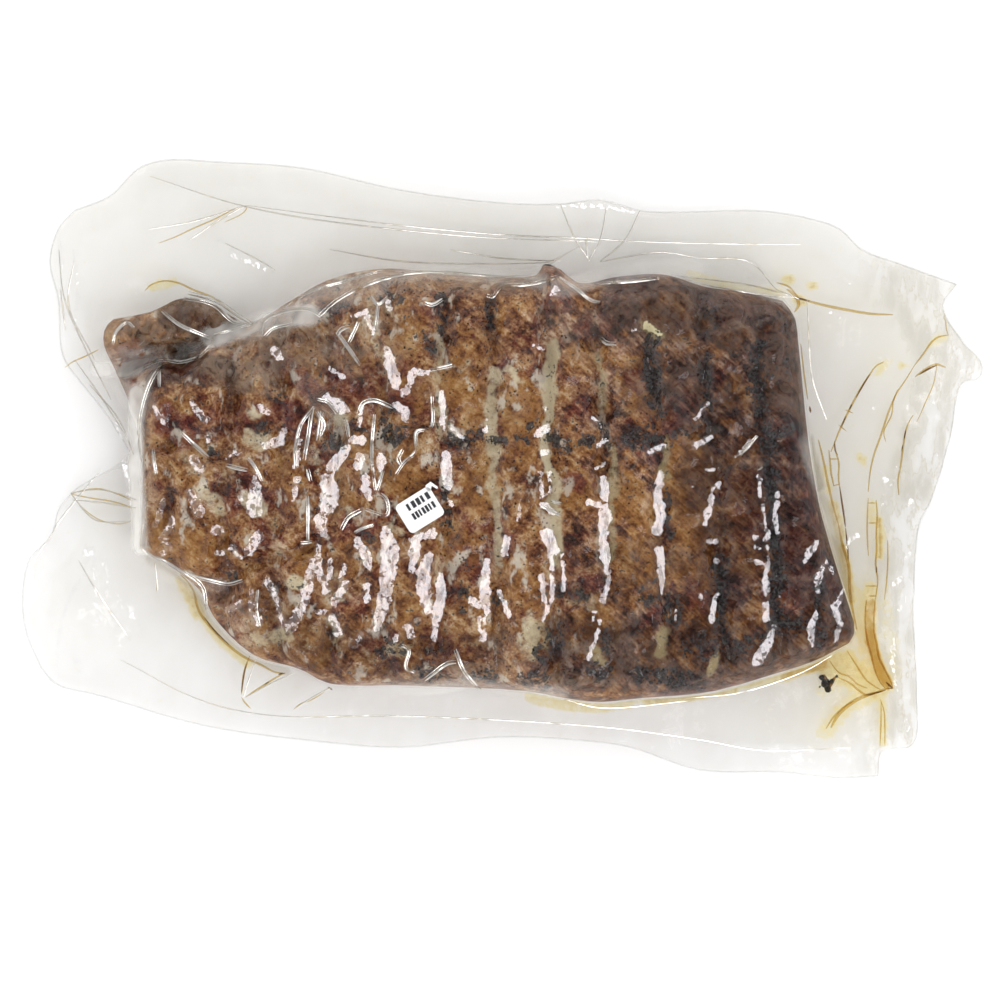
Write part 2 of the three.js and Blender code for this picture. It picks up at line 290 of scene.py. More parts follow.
def coons(edge, u, v):
    """A patch of points between the four sides of a closed loop."""
    n, m = len(u) - 1, len(v) - 1
    loop = np.vstack([edge, edge[:1]])
    bottom, right = loop[: n + 1], loop[n : n + m + 1]
    top, left = loop[n + m : 2 * n + m + 1][::-1], loop[2 * n + m :][::-1]
    u, v = u[None, :, None], v[:, None, None]
    ruled = bottom[None] * (1 - v) + top[None] * v + left[:, None] * (1 - u) + right[:, None] * u
    return (ruled - bottom[0] * (1 - u) * (1 - v) - right[0] * u * (1 - v) - top[-1] * u * v
            - left[-1] * (1 - u) * v)


def moved_in(loop, inset, step=0.4):
    """A loop moved inwards in short steps that are evened out on the way, so that no corner folds over."""
    steps = max(1, math.ceil(inset / step))
    for _ in range(steps):
        along = np.roll(loop, -1, 0) - np.roll(loop, 1, 0)
        along *= inset / steps / np.maximum(np.linalg.norm(along, axis=1, keepdims=True), 1e-9)
        loop = loop + np.stack([-along[:, 1], along[:, 0]], 1)
        for _ in range(3):
            loop = 0.5 * loop + 0.25 * (np.roll(loop, -1, 0) + np.roll(loop, 1, 0))
    return loop


def raised(loop, z):
    return np.column_stack([loop, np.broadcast_to(z, len(loop))])


def linked(name, data):
    """A new object in the scene."""
    made = bpy.data.objects.new(name, data)
    bpy.context.collection.objects.link(made)
    return made


class Shell:
    def __init__(self):
        self.points, self.faces, self.count = [], [], 0

    def add(self, points):
        self.points.append(np.asarray(points, float).reshape(-1, 3))
        ids = np.arange(self.count, self.count + len(self.points[-1]))
        self.count += len(ids)
        return ids

    def patch(self, grid, down=False):
        """Adds a grid of points and its faces, and returns the ids round its rim."""
        rows, columns = grid.shape[:2]
        ids = self.add(grid).reshape(rows, columns)
        return self.patch_faces(ids, down)

    def patch_faces(self, ids, down=False):
        quads = np.stack([ids[:-1, :-1], ids[:-1, 1:], ids[1:, 1:], ids[1:, :-1]], -1).reshape(-1, 4)
        self.faces.append(quads[:, ::-1] if down else quads)
        return np.concatenate([ids[0, :-1], ids[:-1, -1], ids[-1, :0:-1], ids[:0:-1, 0]])

    def loop(self, rim, points):
        """Joins a rim to the next loop of as many points, further out or further down."""
        ids = self.add(points)
        self.faces.append(np.stack([rim, ids, np.roll(ids, -1), np.roll(rim, -1)], 1))
        return ids

    def halved(self, rim, points):
        """Joins a rim to a loop of half as many points."""
        ids = self.add(points)
        a, b, c = rim[::2], rim[1::2], np.roll(rim[::2], -1)
        d = np.roll(ids, -1)
        for triangle in ((a, ids, b), (b, ids, d), (b, d, c)):
            self.faces.append(np.stack(triangle, 1))
        return ids

    def close_under(self, rim, loop, z):
        """Halves the rim twice and closes it with a flat patch that faces down."""
        for inset in (3, 5):
            loop = moved_in(loop, inset)[::2]
            rim = self.halved(rim, raised(loop, z))
        n, m = CELLS_ALONG // 4, CELLS_ACROSS // 4
        grid = coons(loop, u_shares[::4], v_shares[::4])
        ids = np.empty((m + 1, n + 1), int)
        ids[0, :-1], ids[:-1, -1] = rim[:n], rim[n : n + m]
        ids[-1, :0:-1], ids[:0:-1, 0] = rim[n + m : 2 * n + m], rim[2 * n + m :]
        inner = grid[1:-1, 1:-1].reshape(-1, 2)
        ids[1:-1, 1:-1] = self.add(raised(inner, z)).reshape(m - 1, n - 1)
        self.patch_faces(ids, down=True)

    def mesh(self, name):
        """The shell as a mesh object in metres, smooth shaded."""
        points = np.vstack(self.points)
        sizes = np.concatenate([np.full(len(f), f.shape[1]) for f in self.faces])
        corners = np.concatenate([f.reshape(-1) for f in self.faces])
        mesh = bpy.data.meshes.new(name)
        mesh.vertices.add(len(points))
        mesh.vertices.foreach_set("co", (points * MM).ravel())
        mesh.loops.add(len(corners))
        mesh.loops.foreach_set("vertex_index", corners.astype(np.int32))
        mesh.polygons.add(len(sizes))
        mesh.polygons.foreach_set("loop_start", np.concatenate([[0], np.cumsum(sizes)[:-1]]).astype(np.int32))
        mesh.update(calc_edges=True)
        mesh.validate()
        mesh.shade_smooth()
        print(name, "has", len(points), "points and", int((sizes - 2).sum()), "triangles")
        return linked(name, mesh)


def keep(piece, name, values):
    """Stores one number for each vertex, for the material to read."""
    layer = piece.data.attributes.new(name, "FLOAT", "POINT")
    full = np.zeros(len(piece.data.vertices), np.float32)
    full[: len(values)] = values
    layer.data.foreach_set("value", full)


u_shares, v_shares = graded(CELLS_ALONG), graded(CELLS_ACROSS)
meat_edge = perimeter(MEAT_SIDES, u_shares, v_shares)
pouch_edge = perimeter(POUCH_SIDES, u_shares, v_shares)
print("loops of", len(meat_edge), "points")

# %% [markdown]
# ## Unevenness that repeats each run
#
# A lattice of seeded random numbers, blended smoothly, gives soft relief. Three sizes added together look
# like meat that has shrunk in the smoke.

# %% Seeded noise
def noise(x, y, cell, seed):
    """Smooth random heights between -1 and 1, with features about `cell` wide."""
    table = np.random.default_rng(seed).uniform(-1, 1, (64, 64))
    gx, gy = x / cell, y / cell
    ix, iy = np.floor(gx).astype(int), np.floor(gy).astype(int)
    fx, fy = gx - ix, gy - iy
    fx, fy = fx * fx * (3 - 2 * fx), fy * fy * (3 - 2 * fy)
    at = lambda i, j: table[(ix + i) % 64, (iy + j) % 64]
    low = at(0, 0) * (1 - fx) + at(1, 0) * fx
    high = at(0, 1) * (1 - fx) + at(1, 1) * fx
    return low * (1 - fy) + high * fy


def along_and_across(x, y, degrees):
    c, s = math.cos(math.radians(degrees)), math.sin(math.radians(degrees))
    return x * c + y * s, -x * s + y * c


def stroke_cover(x, y, strokes, soft):
    """How far inside the nearest stroke each point lies: 1 on it, 0 beyond its soft edge."""
    cover = np.zeros(x.shape)
    for path, half_width, strength in strokes:
        away = path_distance(x, y, path)[0] if len(path) > 1 else np.hypot(x - path[0][0], y - path[0][1])
        cover = np.maximum(cover, strength * (1 - smoothstep(half_width, half_width + soft, away)))
    return cover


# %% [markdown]
# ## The pouch
#
# A vacuum pouch is two sheets of clear film, welded round the edge. Here it is one closed envelope: over
# the meat, down its side to the seam, out over the empty film, round the rim and back underneath. It
# stands for the CAD solid and keeps its form.

# %% The envelope's heights
def skirt_relief(x, y):
    """Gentle waves in the empty film, and the crinkle of the welded strip at the right end."""
    strip = smoothstep(186, 200, x + 4 * np.sin(y / 21))
    crinkle = 1.1 * noise(x, y, 9, 21) + 0.8 * noise(x, y, 4.5, 22) + 0.5
    return 0.55 * noise(x, y, 38, 23) + 0.3 * noise(x, y, 17, 24) + strip * crinkle


def skirt_loop(share, front):
    """A loop a share of the way from the meat to the pouch's edge."""
    flat = meat_edge + (pouch_edge - meat_edge) * share
    out = np.linalg.norm(flat - meat_edge, axis=1)
    lying = skirt_height(*flat.T) + skirt_relief(*flat.T) - (0 if front else SKIRT_THICKNESS)
    start = SEAM_HEIGHT if front else FOOT_HEIGHT
    reach = 8.5 + sum(fall * hump(np.hypot(meat_edge[:, 0] - cx, meat_edge[:, 1] - cy), near)
                      for cx, cy, near, fall in TENTS) if front else 6.0
    z = lying + (start - lying) * np.exp(-out / reach)
    return np.column_stack([flat, z])


patch_flat = coons(meat_edge, u_shares, v_shares)
patch_x, patch_y = patch_flat[..., 0], patch_flat[..., 1]
closed_edge = np.vstack([coarse_edge, coarse_edge[:1]])
inside = path_distance(patch_x, patch_y, closed_edge)[0]
inside[[0, -1], :] = 0
inside[:, [0, -1]] = 0
patch_z = top_height(patch_x, patch_y, inside)
skirt_shares = np.linspace(0, 1, 27) ** 1.2

film = Shell()
rim = film.patch(np.dstack([patch_x, patch_y, patch_z]))
for share in skirt_shares[1:]:
    rim = film.loop(rim, skirt_loop(share, front=True))
front_count = film.count
for share in np.linspace(1, 0, 9):
    rim = film.loop(rim, skirt_loop(share, front=False))
rim = film.loop(rim, raised(moved_in(meat_edge, 0.45 * FOOT_INSET), 1.0))
sole = moved_in(meat_edge, FOOT_INSET)
rim = film.loop(rim, raised(sole, 0.0))
film.close_under(rim, sole, 0.0)
pouch_film = film.mesh("pouch_film")

# %% [markdown]
# ## The meat
#
# The brisket fills the envelope with a thin gap. Its furrows are deeper than the film's, because the
# film bridges them, and it carries a grain of its own.

# %% The brisket
FILM_GAP = 0.7


def fade_in(distance):
    return smoothstep(0, 6, distance)


grain_along, grain_across = along_and_across(patch_x, patch_y, -42)
meat_relief = (0.35 * noise(patch_x, patch_y, 5.0, 3) + 0.18 * noise(patch_x, patch_y, 2.2, 4)
               + 0.22 * noise(grain_along / 7, grain_across, 1.7, 5))
deeper = 1.3 * sum(hump(patch_x - cord_x(cord, patch_y), 2.4) for cord in NET_CORDS)
meat_z = patch_z - FILM_GAP - fade_in(inside) * (deeper + 0.35 - meat_relief)
meat_z = np.minimum(meat_z, patch_z - 0.25)

meat = Shell()
shrink = 1 - 0.9 / np.maximum(np.hypot(patch_x, patch_y), 1)
rim = meat.patch(np.dstack([patch_x * shrink, patch_y * shrink, meat_z]))
side_loops = [(1.0, 0.7), (1.4, 0.45), (2.2, 0.25), (3.6, 0.1)]
for inset, share in side_loops:
    z = 1.2 + (SEAM_HEIGHT - 2) * share + 0.5 * noise(meat_edge[:, 0], meat_edge[:, 1], 7, 6)
    rim = meat.loop(rim, raised(moved_in(meat_edge, inset), z))
sole = moved_in(meat_edge, FOOT_INSET)
rim = meat.loop(rim, raised(sole, 0.6))
meat.close_under(rim, sole, 0.6)
brisket = meat.mesh("brisket")

# %% [markdown]
# ## Where the colours lie
#
# A smoked brisket isn't one brown. The net leaves charred bands where the cords touched and pale fat
# between them, and the bark is golden where it stayed dry and wine red where juice lies under the film.
# The film's grey sheen on the steep sides is painted into the colour, and so is the shade in the hollow
# under the lump. Each of these is a few strokes, a path with a half width and a strength. They become
# one number for each vertex, which the material sharpens with fine noise.

# %% Strokes of colour over the meat: path, half width and strength
CHAR = seen_strokes(height=45, strokes=[
    ([(439, 298), (440, 328)], 3, 1), ([(424, 340), (430, 350)], 4, 0.9),
    ([(489, 303), (489, 326)], 3.5, 1), ([(653, 335), (652, 372), (654, 412)], 7, 1),
    ([(632, 436), (648, 440)], 8, 1), ([(648, 428), (660, 440)], 6, 0.8),
    ([(707, 358), (706, 400)], 5, 0.9), ([(757, 350), (760, 380), (764, 412)], 7, 1),
    ([(764, 410), (768, 440), (770, 455)], 6, 0.8), ([(771, 470), (774, 500), (776, 545)], 6, 1),
    ([(453, 442), (468, 437), (484, 436)], 4.5, 1), ([(497, 440), (503, 438)], 2.5, 1),
    ([(530, 424), (532, 427)], 2, 1), ([(558, 437), (566, 445)], 5, 1), ([(585, 441), (590, 441)], 3, 1),
    ([(602, 425), (606, 440)], 3, 0.8), ([(520, 437), (528, 440)], 3, 0.7),
    ([(675, 437), (700, 432)], 3, 0.7), ([(782, 430), (803, 426)], 5, 0.9),
    ([(384, 427), (400, 432)], 5.5, 1), ([(388, 438), (394, 441)], 4.5, 1),
    ([(325, 443), (335, 445)], 5, 1), ([(353, 429), (362, 430)], 3, 1),
    ([(205, 451), (220, 455)], 3, 0.7), ([(262, 425), (264, 432)], 4, 0.9),
    ([(444, 490), (445, 532)], 2.2, 0.8), ([(383, 414), (390, 410)], 3, 0.6),
    ([(670, 498), (672, 535)], 3, 0.8), ([(664, 610), (674, 622)], 6, 0.9),
    ([(717, 560), (720, 600), (723, 640)], 4.5, 0.9), ([(776, 555), (776, 600), (770, 640)], 7, 1),
    ([(823, 585), (818, 615), (815, 645)], 6, 0.9), ([(604, 636), (612, 648)], 7, 0.9),
    ([(592, 672), (606, 676)], 9, 1), ([(528, 680), (545, 684)], 7, 1),
    ([(536, 650), (540, 668)], 6, 0.8), ([(548, 636), (556, 644)], 5, 0.7),
    ([(476, 676), (488, 677)], 5, 0.9), ([(420, 674), (432, 676)], 5, 0.9),
    ([(640, 676), (700, 684)], 9.4, 1), ([(650, 600), (680, 606)], 6, 0.6),
    ([(229, 574), (231, 577)], 4, 0.9), ([(375, 650), (386, 652)], 4.5, 0.8),
    ([(362, 533), (371, 538)], 3, 0.8), ([(386, 640), (400, 655)], 4, 0.5),
    ([(462, 590), (463, 594)], 2.4, 1), ([(460, 610), (461, 614)], 2.2, 1),
    ([(496, 596), (500, 600)], 2.5, 0.9), ([(466, 560), (470, 566)], 5, 0.5),
    ([(640, 590), (645, 600)], 5, 0.6), ([(690, 650), (760, 640), (800, 625)], 10.5, 0.8),
    ([(706, 300), (716, 330)], 5, 0.5), ([(745, 350), (770, 372)], 6, 0.5),
    ([(785, 320), (790, 370)], 5, 0.5), ([(330, 300), (338, 306)], 3, 0.5),
    ([(388, 296), (396, 300)], 4, 0.6), ([(320, 315), (350, 303)], 2, 0.4),
    ([(150, 360), (160, 372)], 3, 0.4), ([(270, 395), (280, 400)], 2, 0.5),
    ([(312, 350), (320, 375)], 3, 0.5), ([(410, 560), (416, 575)], 3, 0.5),
    ([(560, 590), (572, 600)], 2.4, 0.6), ([(580, 594), (584, 596)], 2, 0.9),
])
CREAM = seen_strokes(height=45, strokes=[
    ([(436, 332), (437, 378)], 4, 0.55), ([(438, 385), (442, 440)], 3, 0.5),
    ([(494, 372), (494, 440), (494, 480)], 3.5, 0.75), ([(495, 485), (499, 530), (502, 560)], 3.5, 0.7),
    ([(551, 346), (549, 400), (548, 470)], 3.6, 1), ([(553, 472), (555, 520), (557, 560)], 3.4, 0.9),
    ([(601, 357), (601, 412)], 1.6, 0.6), ([(611, 446), (612, 500), (613, 560)], 2.5, 0.7),
    ([(664, 440), (668, 452), (668, 478)], 3, 0.8), ([(531, 618), (530, 640), (529, 655)], 5, 0.85),
    ([(520, 640), (524, 652)], 4, 0.6), ([(543, 628), (546, 640)], 4, 0.6),
    ([(661, 634), (661, 650)], 4.5, 1), ([(716, 655), (713, 668)], 4.5, 1),
    ([(596, 650), (602, 660)], 4.2, 0.9), ([(647, 326), (652, 329), (658, 333)], 3, 1),
    ([(503, 369), (521, 382)], 1.8, 0.9), ([(436, 560), (434, 580)], 4, 0.5),
    ([(247, 411), (252, 414)], 4, 0.8), ([(244, 432), (256, 441), (262, 440)], 5.5, 0.75),
    ([(339, 418), (341, 424)], 4, 0.8), ([(205, 494), (215, 500)], 6, 0.7),
    ([(290, 583), (296, 586)], 6.5, 0.85), ([(256, 638), (270, 642), (282, 636)], 6, 0.7),
    ([(335, 578), (345, 600)], 3, 0.5), ([(372, 300), (376, 350)], 4, 0.5),
    ([(357, 318), (365, 345)], 5, 0.4), ([(390, 648), (402, 655)], 5, 0.6),
    ([(184, 452), (190, 470)], 4, 0.5), ([(348, 510), (352, 525)], 3, 0.6),
    ([(389, 522), (396, 530)], 4, 0.6), ([(470, 500), (480, 520)], 3, 0.3),
    ([(244, 498), (258, 512)], 7, 0.7), ([(262, 545), (280, 552)], 4, 0.4),
    ([(330, 620), (336, 640)], 4, 0.5), ([(208, 497), (216, 512)], 4, 0.6),
    ([(380, 305), (400, 320)], 4, 0.45), ([(310, 450), (318, 462)], 4, 0.5),
    ([(365, 560), (370, 570)], 3, 0.4), ([(462, 370), (472, 366)], 2, 0.5),
    ([(575, 590), (590, 600)], 3, 0.5), ([(568, 600), (600, 606)], 2, 0.5),
    ([(480, 648), (474, 640)], 4, 0.4), ([(555, 545), (560, 560)], 3, 0.5),
    ([(612, 310), (622, 318)], 4, 0.3), ([(225, 480), (236, 470)], 4, 0.4),
    ([(300, 640), (312, 650)], 5, 0.4),
])
FAT_BEAD = [([(68, 68.2), (70.4, 66.8)], 1.3, 1), ([(70.4, 66.8), (74.6, 63.6)], 0.6, 0.9)]
GOLD = seen_strokes(height=45, strokes=[
    ([(460, 380), (478, 410)], 16, 0.9), ([(468, 345), (480, 350)], 12, 0.5),
    ([(520, 395), (525, 420)], 12, 0.9), ([(478, 480), (482, 500)], 14, 0.8),
    ([(510, 440), (520, 460)], 10, 0.6), ([(585, 355), (600, 350)], 10, 0.5),
    ([(630, 370), (650, 415)], 10, 0.8), ([(688, 455), (700, 470)], 13, 1),
    ([(676, 492), (690, 510)], 14, 1), ([(640, 545), (655, 570)], 12, 0.8),
    ([(692, 545), (694, 580)], 14, 1), ([(620, 490), (625, 500)], 12, 0.9),
    ([(568, 480), (572, 490)], 10, 0.9), ([(640, 510), (645, 540)], 10, 0.8),
    ([(165, 535), (190, 545)], 14, 1), ([(305, 648), (318, 655)], 8, 1),
    ([(262, 637), (268, 645)], 5, 0.8), ([(525, 585), (545, 610)], 10, 0.7),
    ([(735, 470), (740, 500)], 9, 0.5), ([(405, 390), (410, 400)], 10, 0.9),
    ([(395, 475), (410, 480)], 12, 0.8), ([(335, 480), (345, 500)], 8, 0.8),
    ([(352, 450), (362, 452)], 7, 0.8), ([(455, 545), (470, 555)], 12, 0.8),
    ([(400, 315), (405, 340)], 10, 0.7), ([(775, 370), (790, 395)], 8, 0.5),
    ([(735, 390), (745, 400)], 8, 0.5), ([(590, 615), (610, 630)], 10, 0.8),
    ([(415, 600), (410, 650)], 10, 0.6), ([(300, 355), (310, 362)], 6, 0.6),
    ([(160, 430), (180, 445)], 8, 0.6), ([(290, 470), (300, 500)], 8, 0.5),
    ([(720, 520), (740, 550)], 10, 0.5), ([(330, 555), (350, 560)], 8, 0.5),
    ([(455, 640), (460, 655)], 7, 0.4), ([(310, 560), (312, 580)], 6, 0.6),
    ([(690, 640), (700, 650)], 7, 0.4), ([(208, 530), (212, 560)], 8, 0.5),
    ([(350, 360), (365, 350)], 6, 0.4),
]) + [  # and these in millimetres
    ([(-188, 66), (-174, 62), (-160, 66)], 4, 0.5),
]
RED = seen_strokes(height=45, strokes=[
    ([(285, 412), (292, 420)], 9, 1), ([(165, 420), (180, 432)], 9, 1), ([(345, 385), (365, 397)], 8, 1),
    ([(398, 398), (402, 404)], 5, 1), ([(635, 378), (640, 384)], 6, 1), ([(130, 352), (140, 356)], 6, 1),
    ([(790, 540), (800, 550)], 9, 0.9), ([(775, 600), (790, 605)], 8, 0.8),
    ([(695, 595), (705, 605)], 7, 0.8), ([(660, 420), (690, 390)], 16, 0.6),
    ([(570, 480), (572, 484)], 4, 0.9), ([(120, 380), (132, 395)], 7, 0.9),
    ([(330, 395), (335, 400)], 6, 0.7), ([(745, 520), (760, 530)], 10, 0.5),
    ([(815, 480), (820, 520)], 8, 0.7), ([(230, 420), (245, 425)], 6, 0.6),
    ([(275, 365), (285, 370)], 6, 0.7), ([(560, 560), (572, 580)], 6, 0.4),
    ([(750, 640), (770, 650)], 6, 0.5), ([(220, 570), (215, 590)], 6, 0.5),
    ([(300, 380), (306, 386)], 5, 0.8), ([(490, 555), (495, 560)], 5, 0.6),
    ([(465, 560), (475, 570)], 7, 0.6), ([(350, 520), (362, 525)], 5, 0.9),
    ([(290, 420), (300, 430)], 7, 0.8),
])
# Painted sheen: the film's grey reflection, mostly on the steep sides, laid into the meat's colour.
FILM_SHEEN_STROKES = seen_strokes(height=42, strokes=[
    ([(340, 285), (400, 280), (470, 278), (530, 276)], 9, 0.85),
    ([(620, 298), (700, 300), (770, 310)], 16, 0.8), ([(600, 320), (680, 330), (740, 335)], 14, 0.6),
    ([(775, 330), (795, 400)], 12, 0.55), ([(640, 400), (690, 370)], 14, 0.5),
    ([(560, 320), (575, 345)], 8, 0.6), ([(240, 368), (262, 372)], 10, 0.7),
    ([(430, 682), (470, 680)], 7, 0.9), ([(240, 628), (250, 640)], 4, 0.7),
    ([(380, 690), (560, 690)], 5, 0.6), ([(560, 690), (700, 696)], 6, 0.6),
    ([(700, 680), (760, 672), (800, 655)], 8, 0.6), ([(838, 610), (846, 630)], 6, 0.5),
    ([(215, 600), (240, 625)], 5, 0.6), ([(150, 310), (200, 296), (215, 305)], 8, 0.15),
    ([(105, 320), (112, 335)], 5, 0.6), ([(262, 330), (300, 316)], 5, 0.8),
    ([(140, 470), (144, 500)], 4, 0.6), ([(200, 345), (240, 340)], 8, 0.4),
    ([(830, 460), (835, 480)], 4, 0.6), ([(500, 650), (520, 670)], 12, 0.4),
    ([(620, 650), (650, 660)], 12, 0.5), ([(130, 400), (134, 440)], 4, 0.9),
    ([(740, 300), (790, 320)], 8, 0.5), ([(370, 290), (385, 300)], 8, 0.5),
    ([(410, 300), (430, 290)], 6, 0.3),
]) + [  # and these in millimetres
    ([(-142, 62), (-133, 70)], 3, 0.4), ([(-188, 66), (-172, 62), (-160, 62)], 6, 0.55),
    ([(-138, 52), (-122, 50), (-110, 56)], 6, 0.6), ([(-100, 56), (-88, 62), (-72, 54)], 6, 0.5),
    ([(-64, 68), (-56, 58)], 6, 0.45), ([(-181, 42), (-176, 34)], 4, 0.8),
]
DARK = [  # where the smoke coloured the meat most
    ([(62, 80), (95, 74), (132, 68)], 8, 0.8), ([(134, 66), (138, 30), (146, 0)], 6, 0.9),
    ([(124, -10), (140, -30), (156, -68)], 10, 1), ([(30, -88), (90, -90), (145, -82)], 9, 0.7),
    ([(74, 44), (112, 40)], 9, 0.55), ([(90, 34), (112, 16), (126, 0)], 12, 0.7),
    ([(96, -6), (104, -24), (112, -44)], 8, 0.7), ([(36, -48), (84, -56), (112, -60)], 8, 0.3),
    ([(-110, -72), (-92, -88), (-42, -92), (-14, -94)], 7, 0.4),
    ([(-124, 56), (-104, 58), (-92, 62)], 5, 0.4), ([(104, -2), (112, -30), (120, -56)], 10, 0.45),
    ([(-98, 34), (-60, 38), (-44, 34)], 7, 0.25), ([(96, 22), (118, 24), (138, 14)], 7, 0.6),
    ([(112, -26), (104, -60), (110, -84)], 9, 0.55), ([(136, 12), (148, -20), (158, -54)], 8, 0.7),
]

DARK_SPOTS_AND_HOLLOW_SHADE = [  # narrow dark places on the lump and beside it
    ([(-158, 73), (-150, 80), (-142, 81), (-133, 74)], 6.5, 1), ([(-150, 69), (-144, 68), (-138, 68)], 5, 1),
    # the first stroke here is painted shade in the hollow under the lump's fold
    ([(-168, 43.5), (-151, 46.5), (-134, 51)], 3.2, 1), ([(-160, 57), (-150, 60)], 2.4, 0.9),
    ([(-176, 64), (-168, 67)], 0.8, 0.7), ([(-174, 60), (-160, 61)], 0.8, 0.7),
    ([(-108, 66), (-100, 62)], 3, 0.6), ([(-137, 44), (-126, 40)], 3, 0.6),
    ([(-114, 52), (-110, 44)], 3, 0.6),
]

# %% Masks on the brisket
top_x, top_y = patch_x.ravel(), patch_y.ravel()
beef_x, beef_y = np.vstack(meat.points)[:, :2].T
wander_x = beef_x + 2.2 * noise(beef_x, beef_y, 9, 31) + 1.3 * noise(beef_x, beef_y, 4, 32)
wander_y = beef_y + 2.2 * noise(beef_x, beef_y, 9, 33) + 1.3 * noise(beef_x, beef_y, 4, 34)
cords_near = sum(hump(beef_x - cord_x(cord, beef_y) - 1.5, 2.6) for cord in NET_CORDS)
rows_near = sum(hump(off_row(beef_x, beef_y, at), 2.6) for at in CROSS_CORDS)
near_rim = np.ones(len(beef_x))
near_rim[: len(top_x)] = 1 - smoothstep(2, 11, inside.ravel())
narrower = [(path, 0.6 * half_width, strength) for path, half_width, strength in CHAR]
keep(brisket, "char", stroke_cover(wander_x, wander_y, narrower, 4.0) + 0.12 * cords_near + 0.14 * rows_near)
fat_lines = [(path, 0.7 * half_width, strength) for path, half_width, strength in CREAM]
keep(brisket, "cream", stroke_cover(wander_x, wander_y, fat_lines, 3.4) + 0.14 * cords_near)
keep(brisket, "gold", stroke_cover(wander_x, wander_y, GOLD, 9.0))
keep(brisket, "wine", stroke_cover(wander_x, wander_y, RED, 7.0))
# painted sheen of the film on the steep sides
keep(brisket, "film_sheen", stroke_cover(wander_x, wander_y, FILM_SHEEN_STROKES, 8.0))
top_side = smoothstep(40, 60, beef_y) * (1 - smoothstep(20, 50, beef_x))
# Painted light: the top side and the left end of the meat are made lighter, for the light and the film's
# sheen on them.
keep(brisket, "rim", near_rim * np.maximum(top_side, 0.6 * (1 - smoothstep(-170, -120, beef_x))))
# The smoke's strokes together with the dark spots, which include painted shade in the hollow under the lump.
keep(brisket, "dark", np.maximum(stroke_cover(wander_x, wander_y, DARK, 15.0),
                               stroke_cover(wander_x, wander_y, DARK_SPOTS_AND_HOLLOW_SHADE, 4.0)))
keep(brisket, "calm", np.clip(0.85 * smoothstep(5, 70, beef_x)
     + 0.5 * smoothstep(45, 70, beef_y) * smoothstep(-40, 20, beef_x), 0, 0.9))
keep(brisket, "bead", stroke_cover(beef_x, beef_y, FAT_BEAD, 0.9))
print("masks kept on", len(beef_x), "points of", brisket.name)

# %% [markdown]
# ## Node materials
#
# A small helper adds a node, sets its values and links its inputs, so a material reads from top to
# bottom. A number goes straight into the socket, and another node's output is linked to it.

# %% Helpers for node trees
def material(name):
    made = bpy.data.materials.new(name)
    made.use_nodes = True
    made.node_tree.nodes.clear()
    return made, made.node_tree


def add(tree, kind, inputs=None, **settings):
    made = tree.nodes.new(kind)
    for key, value in settings.items():
        setattr(made, key, value)
    for key, value in (inputs or {}).items():
        if isinstance(value, bpy.types.NodeSocket):
            tree.links.new(value, made.inputs[key])
        else:
            made.inputs[key].default_value = value
    return made


def maths(tree, operation, a, b=0.0, clamp=False):
    return add(tree, "ShaderNodeMath", {0: a, 1: b}, operation=operation, use_clamp=clamp).outputs[0]


def swing(tree, field, strength):
    """A noise field about its middle, times a strength."""
    return maths(tree, "MULTIPLY", maths(tree, "SUBTRACT", field, 0.5), strength)


def vectors(tree, operation, a, b=None, by=None):
    """Vector maths on `a`, with a second vector `b` or a factor `by`."""
    inputs = {0: a} | ({} if b is None else {1: b}) | ({} if by is None else {"Scale": by})
    return add(tree, "ShaderNodeVectorMath", inputs, operation=operation).outputs[0]


def swung(tree, colour, strength):
    """A noise's colour as a small vector that points anywhere."""
    return vectors(tree, "SCALE", vectors(tree, "SUBTRACT", colour, (0.5, 0.5, 0.5)), by=strength)


def surfaced(tree, shader):
    """Gives the tree its output."""
    add(tree, "ShaderNodeOutputMaterial", {"Surface": shader.outputs[0]})


def mixed(tree, share, under, over):
    return add(tree, "ShaderNodeMixShader", {0: share, 1: under.outputs[0], 2: over.outputs[0]})


def clear(tree, tint):
    return add(tree, "ShaderNodeBsdfTransparent", {"Color": tint})


def gloss(tree, colour, roughness, **more):
    inputs = {"Color": colour, "Roughness": roughness} | more
    return add(tree, "ShaderNodeBsdfAnisotropic", inputs)


def ramp(tree, value, low, high):
    """0 below `low`, 1 above `high`, smooth between."""
    made = add(tree, "ShaderNodeMapRange", {"Value": value, "From Min": low, "From Max": high},
               interpolation_type="SMOOTHSTEP")
    return made.outputs["Result"]


def blend(tree, share, a, b, way="MIX"):
    made = add(tree, "ShaderNodeMix", data_type="RGBA", blend_type=way)
    for socket, value in (("Factor_Float", share), ("A_Color", a), ("B_Color", b)):
        target = next(s for s in made.inputs if s.identifier == socket)
        if isinstance(value, bpy.types.NodeSocket):
            tree.links.new(value, target)
        else:
            target.default_value = value
    return next(s for s in made.outputs if s.identifier == "Result_Color")


def mask(tree, name):
    return add(tree, "ShaderNodeAttribute", attribute_name=name).outputs["Fac"]


def place(tree, scale=(1, 1, 1), turn=0.0, seed=0):
    """Object coordinates in millimetres, turned about Z and then stretched. The seed moves them elsewhere."""
    here = add(tree, "ShaderNodeTexCoord").outputs["Object"]
    turned = add(tree, "ShaderNodeMapping", {"Vector": here, "Rotation": (0, 0, math.radians(turn))})
    elsewhere = (371.0 * seed, 173.0 * seed, 59.0 * seed)
    in_millimetres = tuple(1000.0 * s for s in scale)
    stretched = add(tree, "ShaderNodeMapping", {"Vector": turned.outputs[0], "Location": elsewhere,
                    "Scale": in_millimetres})
    return stretched.outputs[0]


